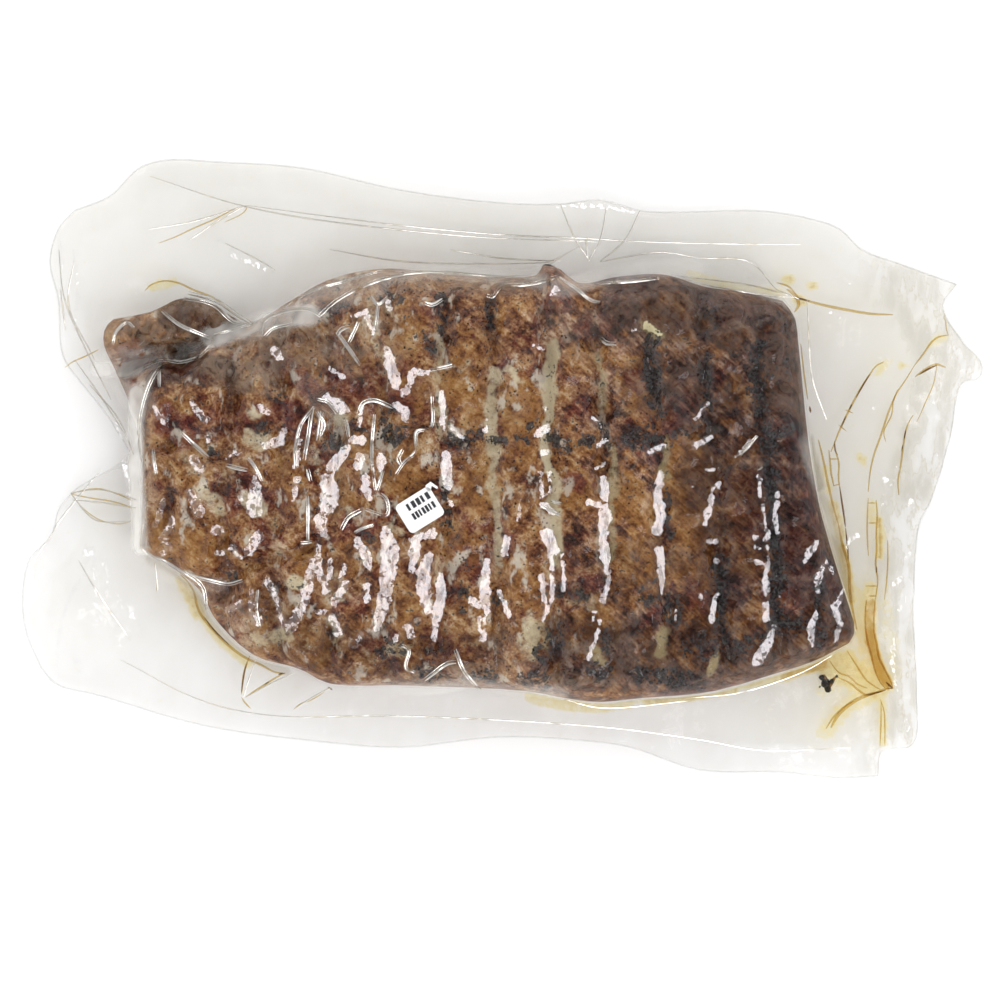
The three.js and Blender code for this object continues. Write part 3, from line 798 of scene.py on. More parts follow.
def grain(tree, size, detail=4.0, rough=0.55, twist=0.0, scale=(1, 1, 1), turn=0.0, seed=0, flat=False):
    """Noise with features about `size` millimetres wide. Flat noise ignores height and is quicker."""
    inputs = {"Vector": place(tree, scale, turn, seed), "Scale": 1.0 / size, "Detail": detail,
              "Roughness": rough, "Distortion": twist}
    made = add(tree, "ShaderNodeTexNoise", inputs, noise_dimensions="2D" if flat else "3D")
    return made.outputs["Fac"]


def srgb(r, g, b):
    """A colour as it is read off a screen, 0 to 255, as the linear colour that a shader wants."""
    def linear(c):
        c /= 255
        return c / 12.92 if c <= 0.04045 else ((c + 0.055) / 1.055) ** 2.4
    return (linear(r), linear(g), linear(b), 1.0)


print("a middle brown in linear light:", [round(c, 3) for c in srgb(110, 75, 45)])

# %% [markdown]
# ## Smoked beef
#
# One fractal noise field, with the muscle's grain on a slant in it, says how light the meat is at each
# point. Ramps of colour are laid along that field: brown bark, gold, wine red, a shaded one and a rusty
# one, and the masks choose among them. Over that come pale jelly, the smoke's darkening with painted
# shade in the hollow under the lump, a painted greyish haze of the film's reflection, fat, the film's
# painted grey sheen on the steep sides, painted light on the top side and the left end, char, a bead of
# fat and pepper. Noise is added to most masks before they are sharpened, so their edges wander.

# %% The meat's material
def shifted(tree, name, field, strength):
    """A mask with a noise field added, so that its edge wanders."""
    return maths(tree, "ADD", mask(tree, name), swing(tree, field, strength))


def faded(tree, field, low, high, most):
    """0 below `low` and `most` above `high`."""
    return maths(tree, "MULTIPLY", ramp(tree, field, low, high), most)


def weighed(tree, *parts):
    """A sum of noise fields about their middle, each with its weight, round 0.5."""
    total = 0.5
    for field, weight in parts:
        total = maths(tree, "ADD", swing(tree, field, weight), total)
    return total


def coloured(tree, field, stops):
    """The colours of `stops` laid along a field, blended smoothly from one to the next."""
    made = add(tree, "ShaderNodeValToRGB", {"Fac": field})
    band = made.color_ramp
    band.interpolation = "EASE"
    while len(band.elements) < len(stops):
        band.elements.new(1.0)
    for element, (at, colour) in zip(band.elements, stops):
        element.position, element.color = at, srgb(*colour)
    return made.outputs["Color"]


BARK = [(0.37, (44, 26, 19)), (0.43, (84, 50, 34)), (0.48, (116, 75, 48)), (0.53, (142, 104, 70)),
        (0.58, (164, 134, 100)), (0.65, (192, 176, 152))]
GOLDEN = [(0.37, (84, 51, 28)), (0.45, (115, 76, 41)), (0.52, (140, 99, 56)), (0.6, (162, 129, 88))]
WINE = [(0.39, (44, 18, 18)), (0.47, (82, 34, 30)), (0.54, (114, 62, 46)), (0.62, (150, 112, 88))]
SHADED = [(0.36, (26, 18, 17)), (0.44, (64, 44, 38)), (0.5, (102, 74, 62)), (0.55, (132, 100, 82)),
          (0.63, (172, 146, 126))]
RUSTY = [(0.36, (34, 18, 10)), (0.44, (84, 46, 24)), (0.51, (124, 76, 40)), (0.57, (150, 104, 66)),
         (0.64, (178, 146, 112))]

beef, tree = material("smoked_beef")
mottle = grain(tree, 9.5, 6, 0.66, 0.5, seed=21)
hue = grain(tree, 19, 4, 0.6, seed=22)
medium = grain(tree, 7.5, 3, 0.55, seed=2)
wisps = grain(tree, 8, 3, 0.6, 1.8, seed=3)
small = grain(tree, 3.4, 3, 0.62, seed=6)
fine = grain(tree, 1.4, 2, 0.65, seed=4)
fibre = grain(tree, 2.4, 3, 0.6, scale=(0.14, 1, 0.5), turn=42, seed=5)
jelly = grain(tree, 9, 4, 0.6, scale=(1, 0.6, 1), seed=11)

quiet = mask(tree, "calm")
lively = maths(tree, "SUBTRACT", 1.0, quiet)


def only(share, where):
    return maths(tree, "MULTIPLY", share, where)


tone = weighed(tree, (mottle, 0.68), (small, 0.25), (fibre, 0.22), (fine, 0.27))
tone = maths(tree, "ADD", tone, only(maths(tree, "SUBTRACT", fibre, 0.53), only(quiet, 0.34)))
tone = maths(tree, "ADD", tone, only(maths(tree, "SUBTRACT", 0.52, tone), only(mask(tree, "gold"), 0.2)))
smoky = blend(tree, ramp(tree, hue, 0.52, 0.44), coloured(tree, tone, SHADED), coloured(tree, tone, RUSTY))
ground = blend(tree, quiet, coloured(tree, tone, BARK), smoky)
ground = blend(tree, faded(tree, hue, 0.525, 0.6, 0.75), ground, coloured(tree, tone, WINE))
ground = blend(tree, faded(tree, hue, 0.49, 0.4, 0.5), ground, coloured(tree, tone, GOLDEN))
gilded = faded(tree, shifted(tree, "gold", small, 2.2), 0.15, 0.8, 0.85)
ground = blend(tree, gilded, ground, coloured(tree, tone, GOLDEN))
reddened = faded(tree, shifted(tree, "wine", small, 2.2), 0.2, 0.8, 0.85)
ground = blend(tree, reddened, ground, coloured(tree, tone, WINE))
ground = blend(tree, only(ramp(tree, jelly, 0.56, 0.66), only(lively, 0.75)), ground, srgb(196, 190, 178))
# The smoke's darkening, by multiply; where the dark spots lie it is also painted shade in the hollow under
# the lump.
smoked = shifted(tree, "dark", medium, 1.4)
smoked = only(ramp(tree, smoked, -0.1, 1.0), ramp(tree, mask(tree, "dark"), 0.0, 0.3))
ground = blend(tree, smoked, ground, (0.26, 0.205, 0.21, 1), "MULTIPLY")
# Painted reflection: a greyish haze of the film's sheen over the smoke-darkened parts.
reflected_haze = only(only(ramp(tree, wisps, 0.47, 0.62), mask(tree, "dark")), 0.2)
ground = blend(tree, reflected_haze, ground, srgb(106, 88, 82))
smoked_or_quiet = maths(tree, "ADD", mask(tree, "dark"), quiet, clamp=True)
fat = blend(tree, smoked_or_quiet, srgb(194, 184, 158), srgb(146, 132, 98))
ground = blend(tree, faded(tree, shifted(tree, "cream", small, 1.5), 0.25, 1.0, 0.85), ground, fat)
# Painted sheen: the film's grey reflection on the steep sides, lighter where the meat is lively, darker where
# calm.
sheen_grey = blend(tree, quiet, srgb(164, 146, 128), srgb(92, 76, 68))
ground = blend(tree, only(mask(tree, "film_sheen"), only(ramp(tree, wisps, 0.3, 0.6), 0.6)), ground, sheen_grey)
# Painted light on the top side and the left end, from the rim mask.
ground = blend(tree, only(mask(tree, "rim"), 0.2), ground, srgb(150, 130, 108))
burnt = maths(tree, "ADD", mask(tree, "char"), weighed(tree, (fine, 2.2), (small, 4.4)))
powdery = ramp(tree, weighed(tree, (small, 0.5), (fine, 0.9)), 0.44, 0.62)
ash = blend(tree, powdery, srgb(17, 17, 19), srgb(62, 61, 63))
charred = blend(tree, faded(tree, burnt, 1.18, 1.38, 0.92), ground, ash)
crumbs = add(tree, "ShaderNodeTexVoronoi", {"Vector": place(tree), "Scale": 0.45}).outputs["Distance"]
crumbs = maths(tree, "ADD", crumbs, swing(tree, fine, 0.6))
clustered = maths(tree, "SUBTRACT", ramp(tree, medium, 0.5, 0.42), mask(tree, "cream"), clamp=True)
clustered = maths(tree, "SUBTRACT", clustered, mask(tree, "dark"), clamp=True)
clustered = maths(tree, "ADD", clustered, maths(tree, "MULTIPLY", mask(tree, "char"), 1.5), clamp=True)
bead = shifted(tree, "bead", small, 1.1)
charred = blend(tree, faded(tree, bead, 0.35, 0.6, 0.95), charred, srgb(214, 206, 168))
peppered = blend(tree, only(ramp(tree, crumbs, 0.26, 0.16), clustered), charred, srgb(26, 22, 24))

bumpy = add(tree, "ShaderNodeBump", {"Height": maths(tree, "ADD", fine, fibre), "Strength": 0.35,
            "Distance": 0.0006})
surface = add(tree, "ShaderNodeBsdfPrincipled", {"Base Color": peppered, "Roughness": 0.55,
              "Specular IOR Level": 0.04, "Normal": bumpy.outputs[0]})
surfaced(tree, surface)
brisket.data.materials.append(beef)
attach(brisket, "root")
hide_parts("pouch")

# %% Juice under the empty film: path, half width and strength
AMBER = [  # in millimetres
    ([(179.2, -58), (179, -68)], 2.2, 0.5), ([(179.2, -66), (178.9, -84)], 2.1, 0.75),
    ([(179, -80), (180.6, -88.5), (184.6, -99.3), (188, -105.1)], 1.9, 0.95),
    ([(178, -64), (177.4, -82)], 0.6, 0.5), ([(158, -94), (170, -100), (182, -106)], 6, 0.5),
    ([(14, -111), (30, -114.5), (46, -115.5), (60, -113.5)], 2.6, 0.42),
    ([(70, -112.5), (92, -110.5), (112, -107)], 1.6, 0.6), ([(146, -95), (156, -92)], 2, 0.8),
    ([(172, -62), (176, -80), (178, -96)], 3.5, 0.3), ([(186, -60), (189, -80), (192, -100)], 2.5, 0.2),
    ([(180.2, -111), (172.3, -113), (167, -116.9), (162.6, -121.8), (157, -128.6)], 3.2, 0.36),
    ([(-156, -54.3), (-151.5, -63.1), (-148.5, -70)], 2.4, 0.6),
    ([(-148, -70), (-138, -84), (-124, -95)], 1, 0.5),
] + [(seen_path(path, height=4), half_width, strength) for path, half_width, strength in [
    ([(878, 520), (880, 532), (879, 556)], 0.6, 0.8), ([(872, 505), (872, 520)], 1.6, 0.35),
    ([(883, 704), (883, 744)], 1, 0.45), ([(846, 655), (860, 676), (870, 688)], 2.4, 0.5),
    ([(835, 668), (850, 684), (864, 691)], 2, 0.45), ([(784, 676), (800, 670), (822, 665)], 1.4, 0.8),
    ([(700, 690), (740, 683), (780, 676)], 1.8, 0.5), ([(842, 548), (847, 572), (850, 600)], 1.4, 0.7),
    ([(832, 505), (840, 535)], 1.6, 0.6), ([(823, 470), (828, 490)], 1.4, 0.35),
    ([(787, 280), (789, 280)], 1.6, 0.6), ([(811, 286), (812, 286)], 1.2, 0.6),
    ([(903, 366), (904, 366)], 0.8, 0.6), ([(859, 455), (864, 463)], 0.9, 0.5),
    ([(796, 300), (800, 302)], 1.6, 0.7), ([(560, 697), (620, 699), (680, 694)], 1, 0.35),
    ([(884, 364), (878, 372)], 1.6, 0.4), ([(940, 338), (930, 344)], 1.2, 0.4),
    ([(836, 684), (822, 690)], 2.6, 0.3), ([(690, 275), (740, 290), (780, 294)], 1.4, 0.4),
    ([(155, 288), (175, 283)], 1.4, 0.4),
]]

MURK = [  # dull juice in the pockets against the meat
    ([(146.5, 14), (149.5, 2), (153, -8)], 2.4, 1),
    ([(153, -8), (158, -20), (164.5, -42), (168, -62)], 1.2, 0.5),
    ([(74, -109.5), (92, -107.5), (108, -104.5)], 2.2, 0.5),
    ([(-172, -44), (-160, -50), (-150, -57)], 1.2, 0.4),
    ([(-149, -61), (-145.5, -70), (-136, -81), (-122, -92), (-106, -98.5)], 1.2, 0.4),
]

# %% [markdown]
# ## Facets of the film
#
# Tight film doesn't shine evenly. Where it bridges a furrow or a hollow it goes flat and leans, and the
# whole facet mirrors the window of light beside it, with a sharp edge. Each facet is a stroke with a half
# width at each of its points. The film keeps the distance to the nearest facet's edge, which stays smooth
# between vertices, and the material cuts it sharp.

# %% The facets: place and half width of each point
FACETS = [seen_path(band, height=46, width_step=VIEW_STEP) for band in [
    [(325, 396, 2), (343, 408, 5)], [(361, 403, 2), (359, 425, 1.2)], [(346, 449, 4), (333, 465, 6)],
    [(327, 479, 5), (329, 492, 8), (328, 506, 7)], [(320, 519, 5), (322, 531, 5)],
    [(359, 458, 4.5), (358, 466, 4)], [(365, 476, 2.5), (366, 482, 3)], [(364, 486, 3), (369, 498, 2.5)],
    [(352, 440, 3), (362, 440, 4)], [(380, 452, 1.5), (381, 461, 4), (380, 470, 1.5)],
    [(446, 456, 5), (446, 470, 5.5), (449, 487, 3.5)], [(396, 405, 3), (405, 410, 3.5), (406, 421, 2.5)],
    [(441, 392, 2.2), (443, 413, 2.8)], [(443, 419, 3), (444, 427, 2)],
    [(452, 427, 1.8), (462, 438, 1.2)], [(356, 541, 3), (366, 556, 5), (369, 569, 2)],
    [(366, 586, 2.5), (367, 602, 2)],
    [(385, 531, 4), (390, 548, 8), (388, 575, 7), (383, 606, 6), (377, 628, 2.5)],
    [(415, 540, 4.5), (414, 556, 5), (411, 570, 1.5)],
    [(429, 556, 4), (423, 572, 6), (424, 592, 6.5), (428, 611, 2.5)],
    [(440, 575, 2.5), (441, 596, 5), (436, 619, 4)], [(420, 537, 2), (433, 533, 4)],
    [(406, 625, 2), (412, 636, 3)], [(436, 626, 2.5), (434, 640, 2.2)],
    [(487, 561, 3.5), (486, 575, 3.5), (485, 592, 5.5), (487, 615, 2.5)], [(470, 600, 3), (483, 606, 4)],
    [(479, 617, 1.3), (480, 640, 1.3)], [(485, 618, 1.2), (484, 641, 1.4)],
    [(507, 538, 4), (505, 555, 3)], [(499, 592, 2.5), (509, 615, 3)], [(538, 434, 4), (547, 427, 4)],
    [(543, 453, 3.5), (546, 452, 2.5)], [(541, 472, 2), (542, 498, 2.2)],
    [(549, 472, 1.5), (550, 493, 1.5)], [(545, 506, 4), (553, 513, 3)], [(546, 534, 6), (553, 550, 6)],
    [(542, 575, 3), (546, 606, 2)], [(551, 556, 2), (552, 598, 2), (543, 620, 2)],
    [(562, 556, 2), (564, 591, 2.4)], [(593, 418, 1.5), (602, 426, 1.5)],
    [(596, 447, 2), (606, 441, 2.5)], [(598, 468, 2.5), (606, 464, 2)],
    [(604, 480, 4.5), (605, 497, 4.5)], [(589, 502, 3.5), (606, 507, 3)],
    [(605, 516, 7), (603, 536, 4.5), (605, 556, 5.5), (607, 573, 1.8)], [(609, 578, 2.5), (604, 600, 3)],
    [(594, 611, 1.8), (594, 621, 1.8)], [(600, 620, 2), (596, 640, 1.8)],
    [(592, 646, 2.5), (589, 658, 2.2)], [(650, 452, 3), (663, 447, 3)],
    [(661, 474, 3.5), (657, 492, 4.5)], [(658, 498, 5.5), (661, 515, 5), (656, 531, 5.5)],
    [(659, 550, 4.5), (661, 570, 4), (662, 593, 1)], [(676, 603, 0.9), (676, 620, 0.9)],
    [(695, 446, 3.5), (711, 437, 2.5)], [(695, 419, 1.6), (708, 404, 1.5)],
    [(706, 471, 2.5), (718, 469, 1.5)], [(691, 487, 1.5), (698, 477, 1.3)],
    [(719, 484, 3.2), (719, 487, 2)], [(712, 490, 2.5), (711, 508, 2.8)],
    [(708, 512, 4.5), (705, 524, 2.5)], [(707, 541, 1.5), (716, 542, 2.8)],
    [(715, 559, 2.5), (718, 562, 2.5)], [(718, 594, 2), (713, 608, 3), (712, 622, 2.8)],
    [(700, 597, 2), (701, 600, 2)], [(735, 458, 1.5), (746, 448, 3), (757, 436, 1.2)],
    [(759, 477, 2.5), (759, 497, 1.8)], [(763, 507, 1.5), (766, 530, 1.5)],
    [(778, 494, 2), (775, 515, 2), (778, 532, 2)], [(754, 537, 2), (757, 537, 2)],
    [(766, 539, 3), (769, 534, 2)], [(755, 547, 1.6), (759, 549, 1.6)], [(767, 546, 2), (768, 549, 2)],
    [(757, 562, 3.5), (759, 562, 3)], [(769, 558, 2.8), (765, 575, 2.5), (767, 592, 4.2)],
    [(765, 605, 3.5), (766, 619, 4)], [(774, 627, 2), (767, 645, 5), (757, 660, 6)],
    [(781, 594, 1.2), (781, 598, 1.3)], [(819, 540, 1.5), (810, 551, 4), (803, 565, 1.8)],
    [(827, 560, 1.2), (818, 577, 4), (818, 592, 1.8)], [(832, 569, 2.5), (834, 573, 1.5)],
    [(817, 611, 1.5), (811, 628, 5), (812, 646, 2)],
    [(847, 590, 1.2), (836, 608, 4.5), (840, 622, 3.5), (837, 642, 2)], [(273, 349, 4), (277, 356, 3)],
    [(329, 367, 1.5), (343, 376, 2)], [(352, 315, 1.5), (366, 311, 2), (373, 331, 2)],
    [(387, 299, 2), (390, 307, 2.2)], [(387, 350, 3), (390, 366, 5.5), (396, 383, 4.5)],
    [(189, 402, 1.5), (203, 419, 3.5)], [(258, 406, 1.5), (266, 413, 2.2)],
    [(153, 407, 2.5), (161, 421, 2.5)], [(265, 445, 3.5), (278, 441, 4), (283, 430, 2)],
    [(192, 459, 4), (199, 470, 3)], [(188, 493, 3.5), (197, 511, 5)],
    [(254, 472, 1.5), (254, 492, 6), (252, 510, 7.5)], [(214, 530, 3.5), (219, 532, 3)],
    [(246, 553, 3.5), (257, 536, 4.5)],
    [(215, 554, 1.5), (222, 553, 1.5), (230, 546, 1.5), (238, 557, 1.5)],
    [(152, 526, 1.8), (161, 500, 1.8)], [(170, 519, 2.5), (161, 539, 3.5)],
    [(166, 546, 3), (161, 553, 2)], [(299, 441, 1.2), (295, 466, 2)], [(297, 479, 2.5), (293, 500, 1.2)],
    [(224, 458, 1), (237, 452, 1.6)], [(222, 612, 1.5), (231, 609, 2.5), (239, 603, 1.5)],
    [(250, 590, 1.2), (249, 612, 2), (257, 622, 4)], [(265, 580, 2.2), (276, 600, 2.2), (281, 627, 1.5)],
    [(302, 604, 4), (290, 629, 4.5)], [(311, 559, 1), (308, 580, 3.8), (304, 602, 3.2)],
    [(318, 547, 1.8), (318, 572, 2.5), (326, 592, 3)], [(330, 561, 2), (329, 578, 2.5)],
    [(344, 566, 1.8), (341, 580, 1.6)], [(331, 618, 3), (338, 634, 3.5)],
    [(346, 583, 2), (333, 604, 3.2)], [(318, 612, 2), (323, 613, 2)], [(360, 634, 1.8), (358, 641, 1.5)],
    [(397, 637, 2), (396, 640, 2)], [(534, 345, 1.8), (543, 348, 1.8)],
    [(543, 406, 1.6), (546, 410, 1.6)], [(486, 417, 1.6), (487, 420, 1.6)],
    [(486, 428, 2.5), (486, 431, 2)], [(549, 297, 1.5), (556, 289, 4), (563, 291, 1.5)],
    [(430, 372, 1.5), (414, 372, 3.5), (404, 394, 2.5)], [(636, 330, 1.2), (633, 330, 1)],
    [(240, 498, 1.5), (240, 499, 1.5)], [(448, 500, 1.5), (452, 505, 1.5)],
    [(520, 500, 1.2), (518, 520, 1.6)], [(205, 437, 1.2), (206, 441, 1.2)],
]]
SKIRT_FACETS = [seen_path(band, height=4) for band in [
    [(217, 238, 0.6), (228, 245, 0.8), (238, 252, 0.4)],
    [(222, 255, 0.6), (240, 260, 1.4), (258, 266, 1.6), (277, 273, 0.4)],
    [(60, 235, 0.5), (63, 255, 1), (64, 275, 1), (62, 300, 0.5)],
    [(75, 250, 0.4), (79, 275, 0.8), (80, 300, 0.8), (76, 325, 0.4)],
    [(88, 545, 1.2), (84, 575, 0.8), (72, 600, 0.6), (62, 625, 0.7), (58, 650, 0.8), (57, 677, 0.5)],
    [(88, 545, 1.6), (96, 562, 1.4), (98, 590, 1), (100, 620, 0.6)],
    [(90, 548, 1.2), (105, 560, 1.4), (111, 575, 1), (108, 595, 0.4)],
    [(115, 592, 0.6), (125, 605, 1.5), (138, 622, 1.3), (145, 632, 0.5)],
    [(118, 640, 0.7), (120, 656, 0.5)], [(74, 655, 1.2), (80, 672, 1.2)],
    [(27, 600, 0.5), (29, 620, 0.5), (30, 640, 0.4)], [(37, 575, 1.2), (40, 580, 1)],
    [(556, 207, 0.8), (600, 207, 1.5), (638, 212, 0.8)], [(832, 275, 1.2), (852, 284, 1.4)],
    [(888, 280, 1.6), (892, 284, 1.2)], [(826, 312, 0.8), (840, 318, 1.6), (852, 316, 0.8)],
    [(896, 317, 0.5), (915, 328, 0.9), (931, 334, 0.6)],
    [(878, 468, 0.8), (888, 485, 1.8), (884, 505, 1)], [(896, 458, 0.8), (897, 478, 1.2)],
    [(906, 492, 1), (912, 506, 1.4)], [(893, 640, 0.8), (893, 670, 1), (897, 690, 0.6)],
    [(878, 358, 0.8), (888, 363, 1.2), (882, 370, 1)],
    [(868, 402, 0.4), (876, 410, 0.6), (884, 414, 0.4)], [(907, 402, 0.6), (908, 420, 0.5)],
    [(935, 403, 0.5), (934, 420, 0.4)], [(941, 350, 1.2), (948, 354, 1)],
    [(906, 718, 0.6), (909, 731, 0.6)], [(846, 547, 0.8), (856, 534, 1.2)],
    [(910, 440, 0.6), (914, 452, 0.8)], [(920, 395, 1.2), (924, 402, 0.8)],
    [(937, 455, 0.8), (936, 462, 0.5)], [(893, 583, 1), (903, 577, 0.6)],
    [(905, 560, 0.6), (915, 545, 0.5)], [(898, 612, 0.4), (906, 596, 0.4)],
    [(105, 300, 0.5), (112, 330, 0.4)],
    [(116, 415, 0.5), (124, 450, 1.4), (128, 480, 1.6), (133, 510, 0.6)],
    [(98, 400, 0.4), (112, 430, 0.7), (120, 455, 0.4)],
    [(480, 268, 0.3), (520, 270, 0.8), (545, 266, 0.4)],
]]


def facet_distance(x, y, strokes, limit=9.0):
    """Distance outside the nearest facet, negative inside it."""
    nearest = np.full(x.shape, limit)
    for stroke in strokes:
        s = np.asarray(stroke, float)
        low, high = s[:, :2].min(0) - limit, s[:, :2].max(0) + limit
        near = (x > low[0]) & (x < high[0]) & (y > low[1]) & (y < high[1])
        away, foot = path_distance(x[near], y[near], s)
        run = np.concatenate([[0], np.cumsum(np.hypot(*np.diff(s[:, :2], axis=0).T))])
        nearest[near] = np.minimum(nearest[near], away - np.interp(foot, run, s[:, 2]))
    return nearest


film_points = np.vstack(film.points)
front_x, front_y = film_points[:front_count, 0], film_points[:front_count, 1]
on_skirt = np.arange(front_count) >= len(top_x)
TENTS_OF_FILM = [  # slack film that hangs off the meat and scatters the light, in millimetres
    ([(-197, 48.5), (-183, 48), (-170, 51)], 2.4, 1), ([(-122, 68), (-98, 77), (-62, 88)], 5, 0.3),
    ([(-94, 40), (-84, 28), (-80, 12)], 4, 0.22),
] + [(seen_path(path, height), half_width, strength) for height, path, half_width, strength in [
    (12, [(141, 395), (137, 430), (137, 470), (141, 520), (142, 545)], 2.9, 1.2),
    (15, [(152, 372), (145, 395)], 2, 0.6),
    (20, [(212, 338), (238, 330), (262, 321), (290, 316), (312, 316)], 3.6, 0.9),
    (25, [(128, 358), (150, 354), (175, 352), (195, 349)], 1.5, 0.5),
    (12, [(104, 361), (125, 357)], 2, 0.5), (10, [(112, 370), (122, 385), (133, 402)], 3.4, 0.35),
    (20, [(560, 291), (590, 280), (640, 268), (690, 266), (740, 276), (770, 290), (790, 299)], 3.4, 0.42),
    (20, [(803, 445), (812, 470), (824, 500), (838, 530)], 2.5, 0.35),
    (12, [(150, 566), (170, 577), (195, 588), (220, 585)], 2, 0.3),
    (8, [(360, 686), (400, 688), (445, 686), (470, 678), (500, 688), (560, 690)], 2, 0.4),
    (20, [(300, 300), (360, 283), (400, 277), (440, 272), (490, 276), (540, 283)], 2.2, 0.35),
]]
keep(pouch_film, "tent", stroke_cover(*film_points.T[:2], TENTS_OF_FILM, 3.5)
     * (np.arange(film.count) < front_count))
facets = np.full(film.count, 9.0)
facets[: len(top_x)] = facet_distance(top_x, top_y, FACETS) - 0.5 * smoothstep(10, -60, top_x)
facets[len(top_x) : front_count] = facet_distance(front_x[on_skirt], front_y[on_skirt], SKIRT_FACETS)
keep(pouch_film, "facet", facets)
keep(pouch_film, "amber", np.where(on_skirt, stroke_cover(front_x, front_y, AMBER, 2.2), 0))

keep(pouch_film, "murk", np.where(on_skirt, stroke_cover(front_x, front_y, MURK, 2.0), 0))

WELD_INSET, STRIP_WIDTH = 13.5, 24.0
outer_edge = perimeter(POUCH_SIDES, np.linspace(0, 1, 60), np.linspace(0, 1, 50))
from_edge = path_distance(front_x, front_y, np.vstack([outer_edge, outer_edge[:1]]))[0]
within_weld = smoothstep(WELD_INSET - 0.8, WELD_INSET + 0.8, from_edge)
to_right = smoothstep(70, 150, front_x)
strip = smoothstep(STRIP_WIDTH + 3, STRIP_WIDTH - 3, from_edge) * smoothstep(166, 194, front_x)
duller = 0.34 + 0.2 * smoothstep(60, 110, front_y) - 0.34 * smoothstep(-60, -105, front_y)
on_weld = 0.8 * (1 - within_weld) * smoothstep(60, 110, front_y)
duller = within_weld * (duller + (1 - duller) * to_right) + on_weld
keep(pouch_film, "within", np.where(on_skirt, duller, 0))
keep(pouch_film, "strip", np.where(on_skirt, strip, 0))
over_meat = np.zeros(film.count)
over_meat[: len(top_x)] = smoothstep(0, 3, inside.ravel())
keep(pouch_film, "over_meat", over_meat)
print(int((facets < 0).sum()), "points of the film lie on a facet")

# %% [markdown]
# ## Clear film
#
# Film is thin, so light goes straight through and only a few per cent is mirrored. A Transparent shader
# with a Glossy one over it gives that without the noise of real refraction. The share of gloss grows, by a
# power, the more the film is seen from the side. It is larger on a facet, where the normal is bent to
# mirror the bright window. Slack film scatters light, which a Diffuse shader adds. A little tint is lost in
# each pass, and the juice colours it amber.

# %% The film's material
KEY_TURN, KEY_LEAN = math.radians(-50), math.radians(38)
key_direction = Vector((math.sin(KEY_LEAN) * math.cos(KEY_TURN), math.sin(KEY_LEAN) * math.sin(KEY_TURN),
                        math.cos(KEY_LEAN)))
facet_normal = (key_direction + Vector((0, 0, 1))).normalized()


def wobbly(tree, scale):
    """The colour of a soft flat noise, to lean normals with."""
    inputs = {"Vector": place(tree), "Scale": scale, "Detail": 2.0}
    return add(tree, "ShaderNodeTexNoise", inputs, noise_dimensions="2D").outputs["Color"]


clear_film, tree = material("clear_film")
normal = add(tree, "ShaderNodeNewGeometry").outputs["Normal"]
ragged = grain(tree, 3.2, 2, 0.6, flat=True)
on_facet = ramp(tree, shifted(tree, "facet", ragged, 3.4), 0.35, -0.35)
cells = add(tree, "ShaderNodeTexVoronoi", {"Vector": place(tree, (1, 0.45, 1), 6), "Scale": 0.2,
            "Randomness": 1.0}, voronoi_dimensions="2D")
leaning = vectors(tree, "ADD", normal, swung(tree, cells.outputs["Color"], 0.17))
wobble = wobbly(tree, 0.35)
ripples = vectors(tree, "ADD", leaning, swung(tree, wobble, 0.3))
facing = vectors(tree, "ADD", swung(tree, wobble, 0.25), tuple(facet_normal))
bent = add(tree, "ShaderNodeMix", data_type="VECTOR")
for socket, value in (("Factor_Float", on_facet), ("A_Vector", ripples), ("B_Vector", facing)):
    tree.links.new(value, next(s for s in bent.inputs if s.identifier == socket))
bent = next(s for s in bent.outputs if s.identifier == "Result_Vector")
bent = vectors(tree, "NORMALIZE", bent)

clouds = grain(tree, 14, 2, 0.5, scale=(1, 0.6, 1), turn=8, seed=12, flat=True)
cloudy = ramp(tree, clouds, 0.3, 0.7)
tint = blend(tree, cloudy, (0.969, 0.967, 0.962, 1), (0.979, 0.979, 0.976, 1))
tint = blend(tree, mask(tree, "within"), tint, (0.924, 0.915, 0.888, 1))
crinkles = grain(tree, 9, 3, 0.5, scale=(1.4, 0.5, 1), seed=9, flat=True)
crinkled = ramp(tree, crinkles, 0.3, 0.7)
tint = blend(tree, maths(tree, "MULTIPLY", mask(tree, "strip"), crinkled), tint, (0.81, 0.795, 0.75, 1))
pleats = ramp(tree, maths(tree, "ABSOLUTE", maths(tree, "SUBTRACT", crinkles, 0.47)), 0.02, 0.0)
tint = blend(tree, maths(tree, "MULTIPLY", mask(tree, "strip"), pleats), tint, (0.82, 0.79, 0.71, 1))
tint = blend(tree, mask(tree, "over_meat"), tint, (0.985, 0.975, 0.955, 1))
stain = shifted(tree, "amber", ragged, 0.5)
soaked = blend(tree, ramp(tree, stain, 0.4, 1.0), (0.93, 0.86, 0.58, 1), (0.68, 0.46, 0.14, 1))
tint = blend(tree, ramp(tree, stain, 0.05, 0.5), tint, soaked)
tint = blend(tree, mask(tree, "murk"), tint, (0.5, 0.47, 0.38, 1))
shine = gloss(tree, (0.97, 0.955, 0.98, 1), 0.07, Normal=bent)
steep = add(tree, "ShaderNodeLayerWeight", {"Blend": 0.5, "Normal": bent}).outputs["Facing"]
share = maths(tree, "ADD", maths(tree, "MULTIPLY", maths(tree, "POWER", steep, 4.0), 0.25), 0.015)
patchy = ramp(tree, grain(tree, 3.2, 3, 0.6, scale=(1, 0.4, 1), turn=6, seed=7, flat=True), 0.38, 0.52)
facet_share = maths(tree, "ADD", maths(tree, "MULTIPLY", patchy, 0.06), 0.064)
share = maths(tree, "ADD", share, maths(tree, "MULTIPLY", on_facet, facet_share), clamp=True)
milk = add(tree, "ShaderNodeBsdfDiffuse", {"Color": (0.86, 0.84, 0.8, 1)})
streaks = ramp(tree, clouds, 0.2, 0.8)
streaky = maths(tree, "ADD", maths(tree, "MULTIPLY", streaks, 0.45), 0.15)
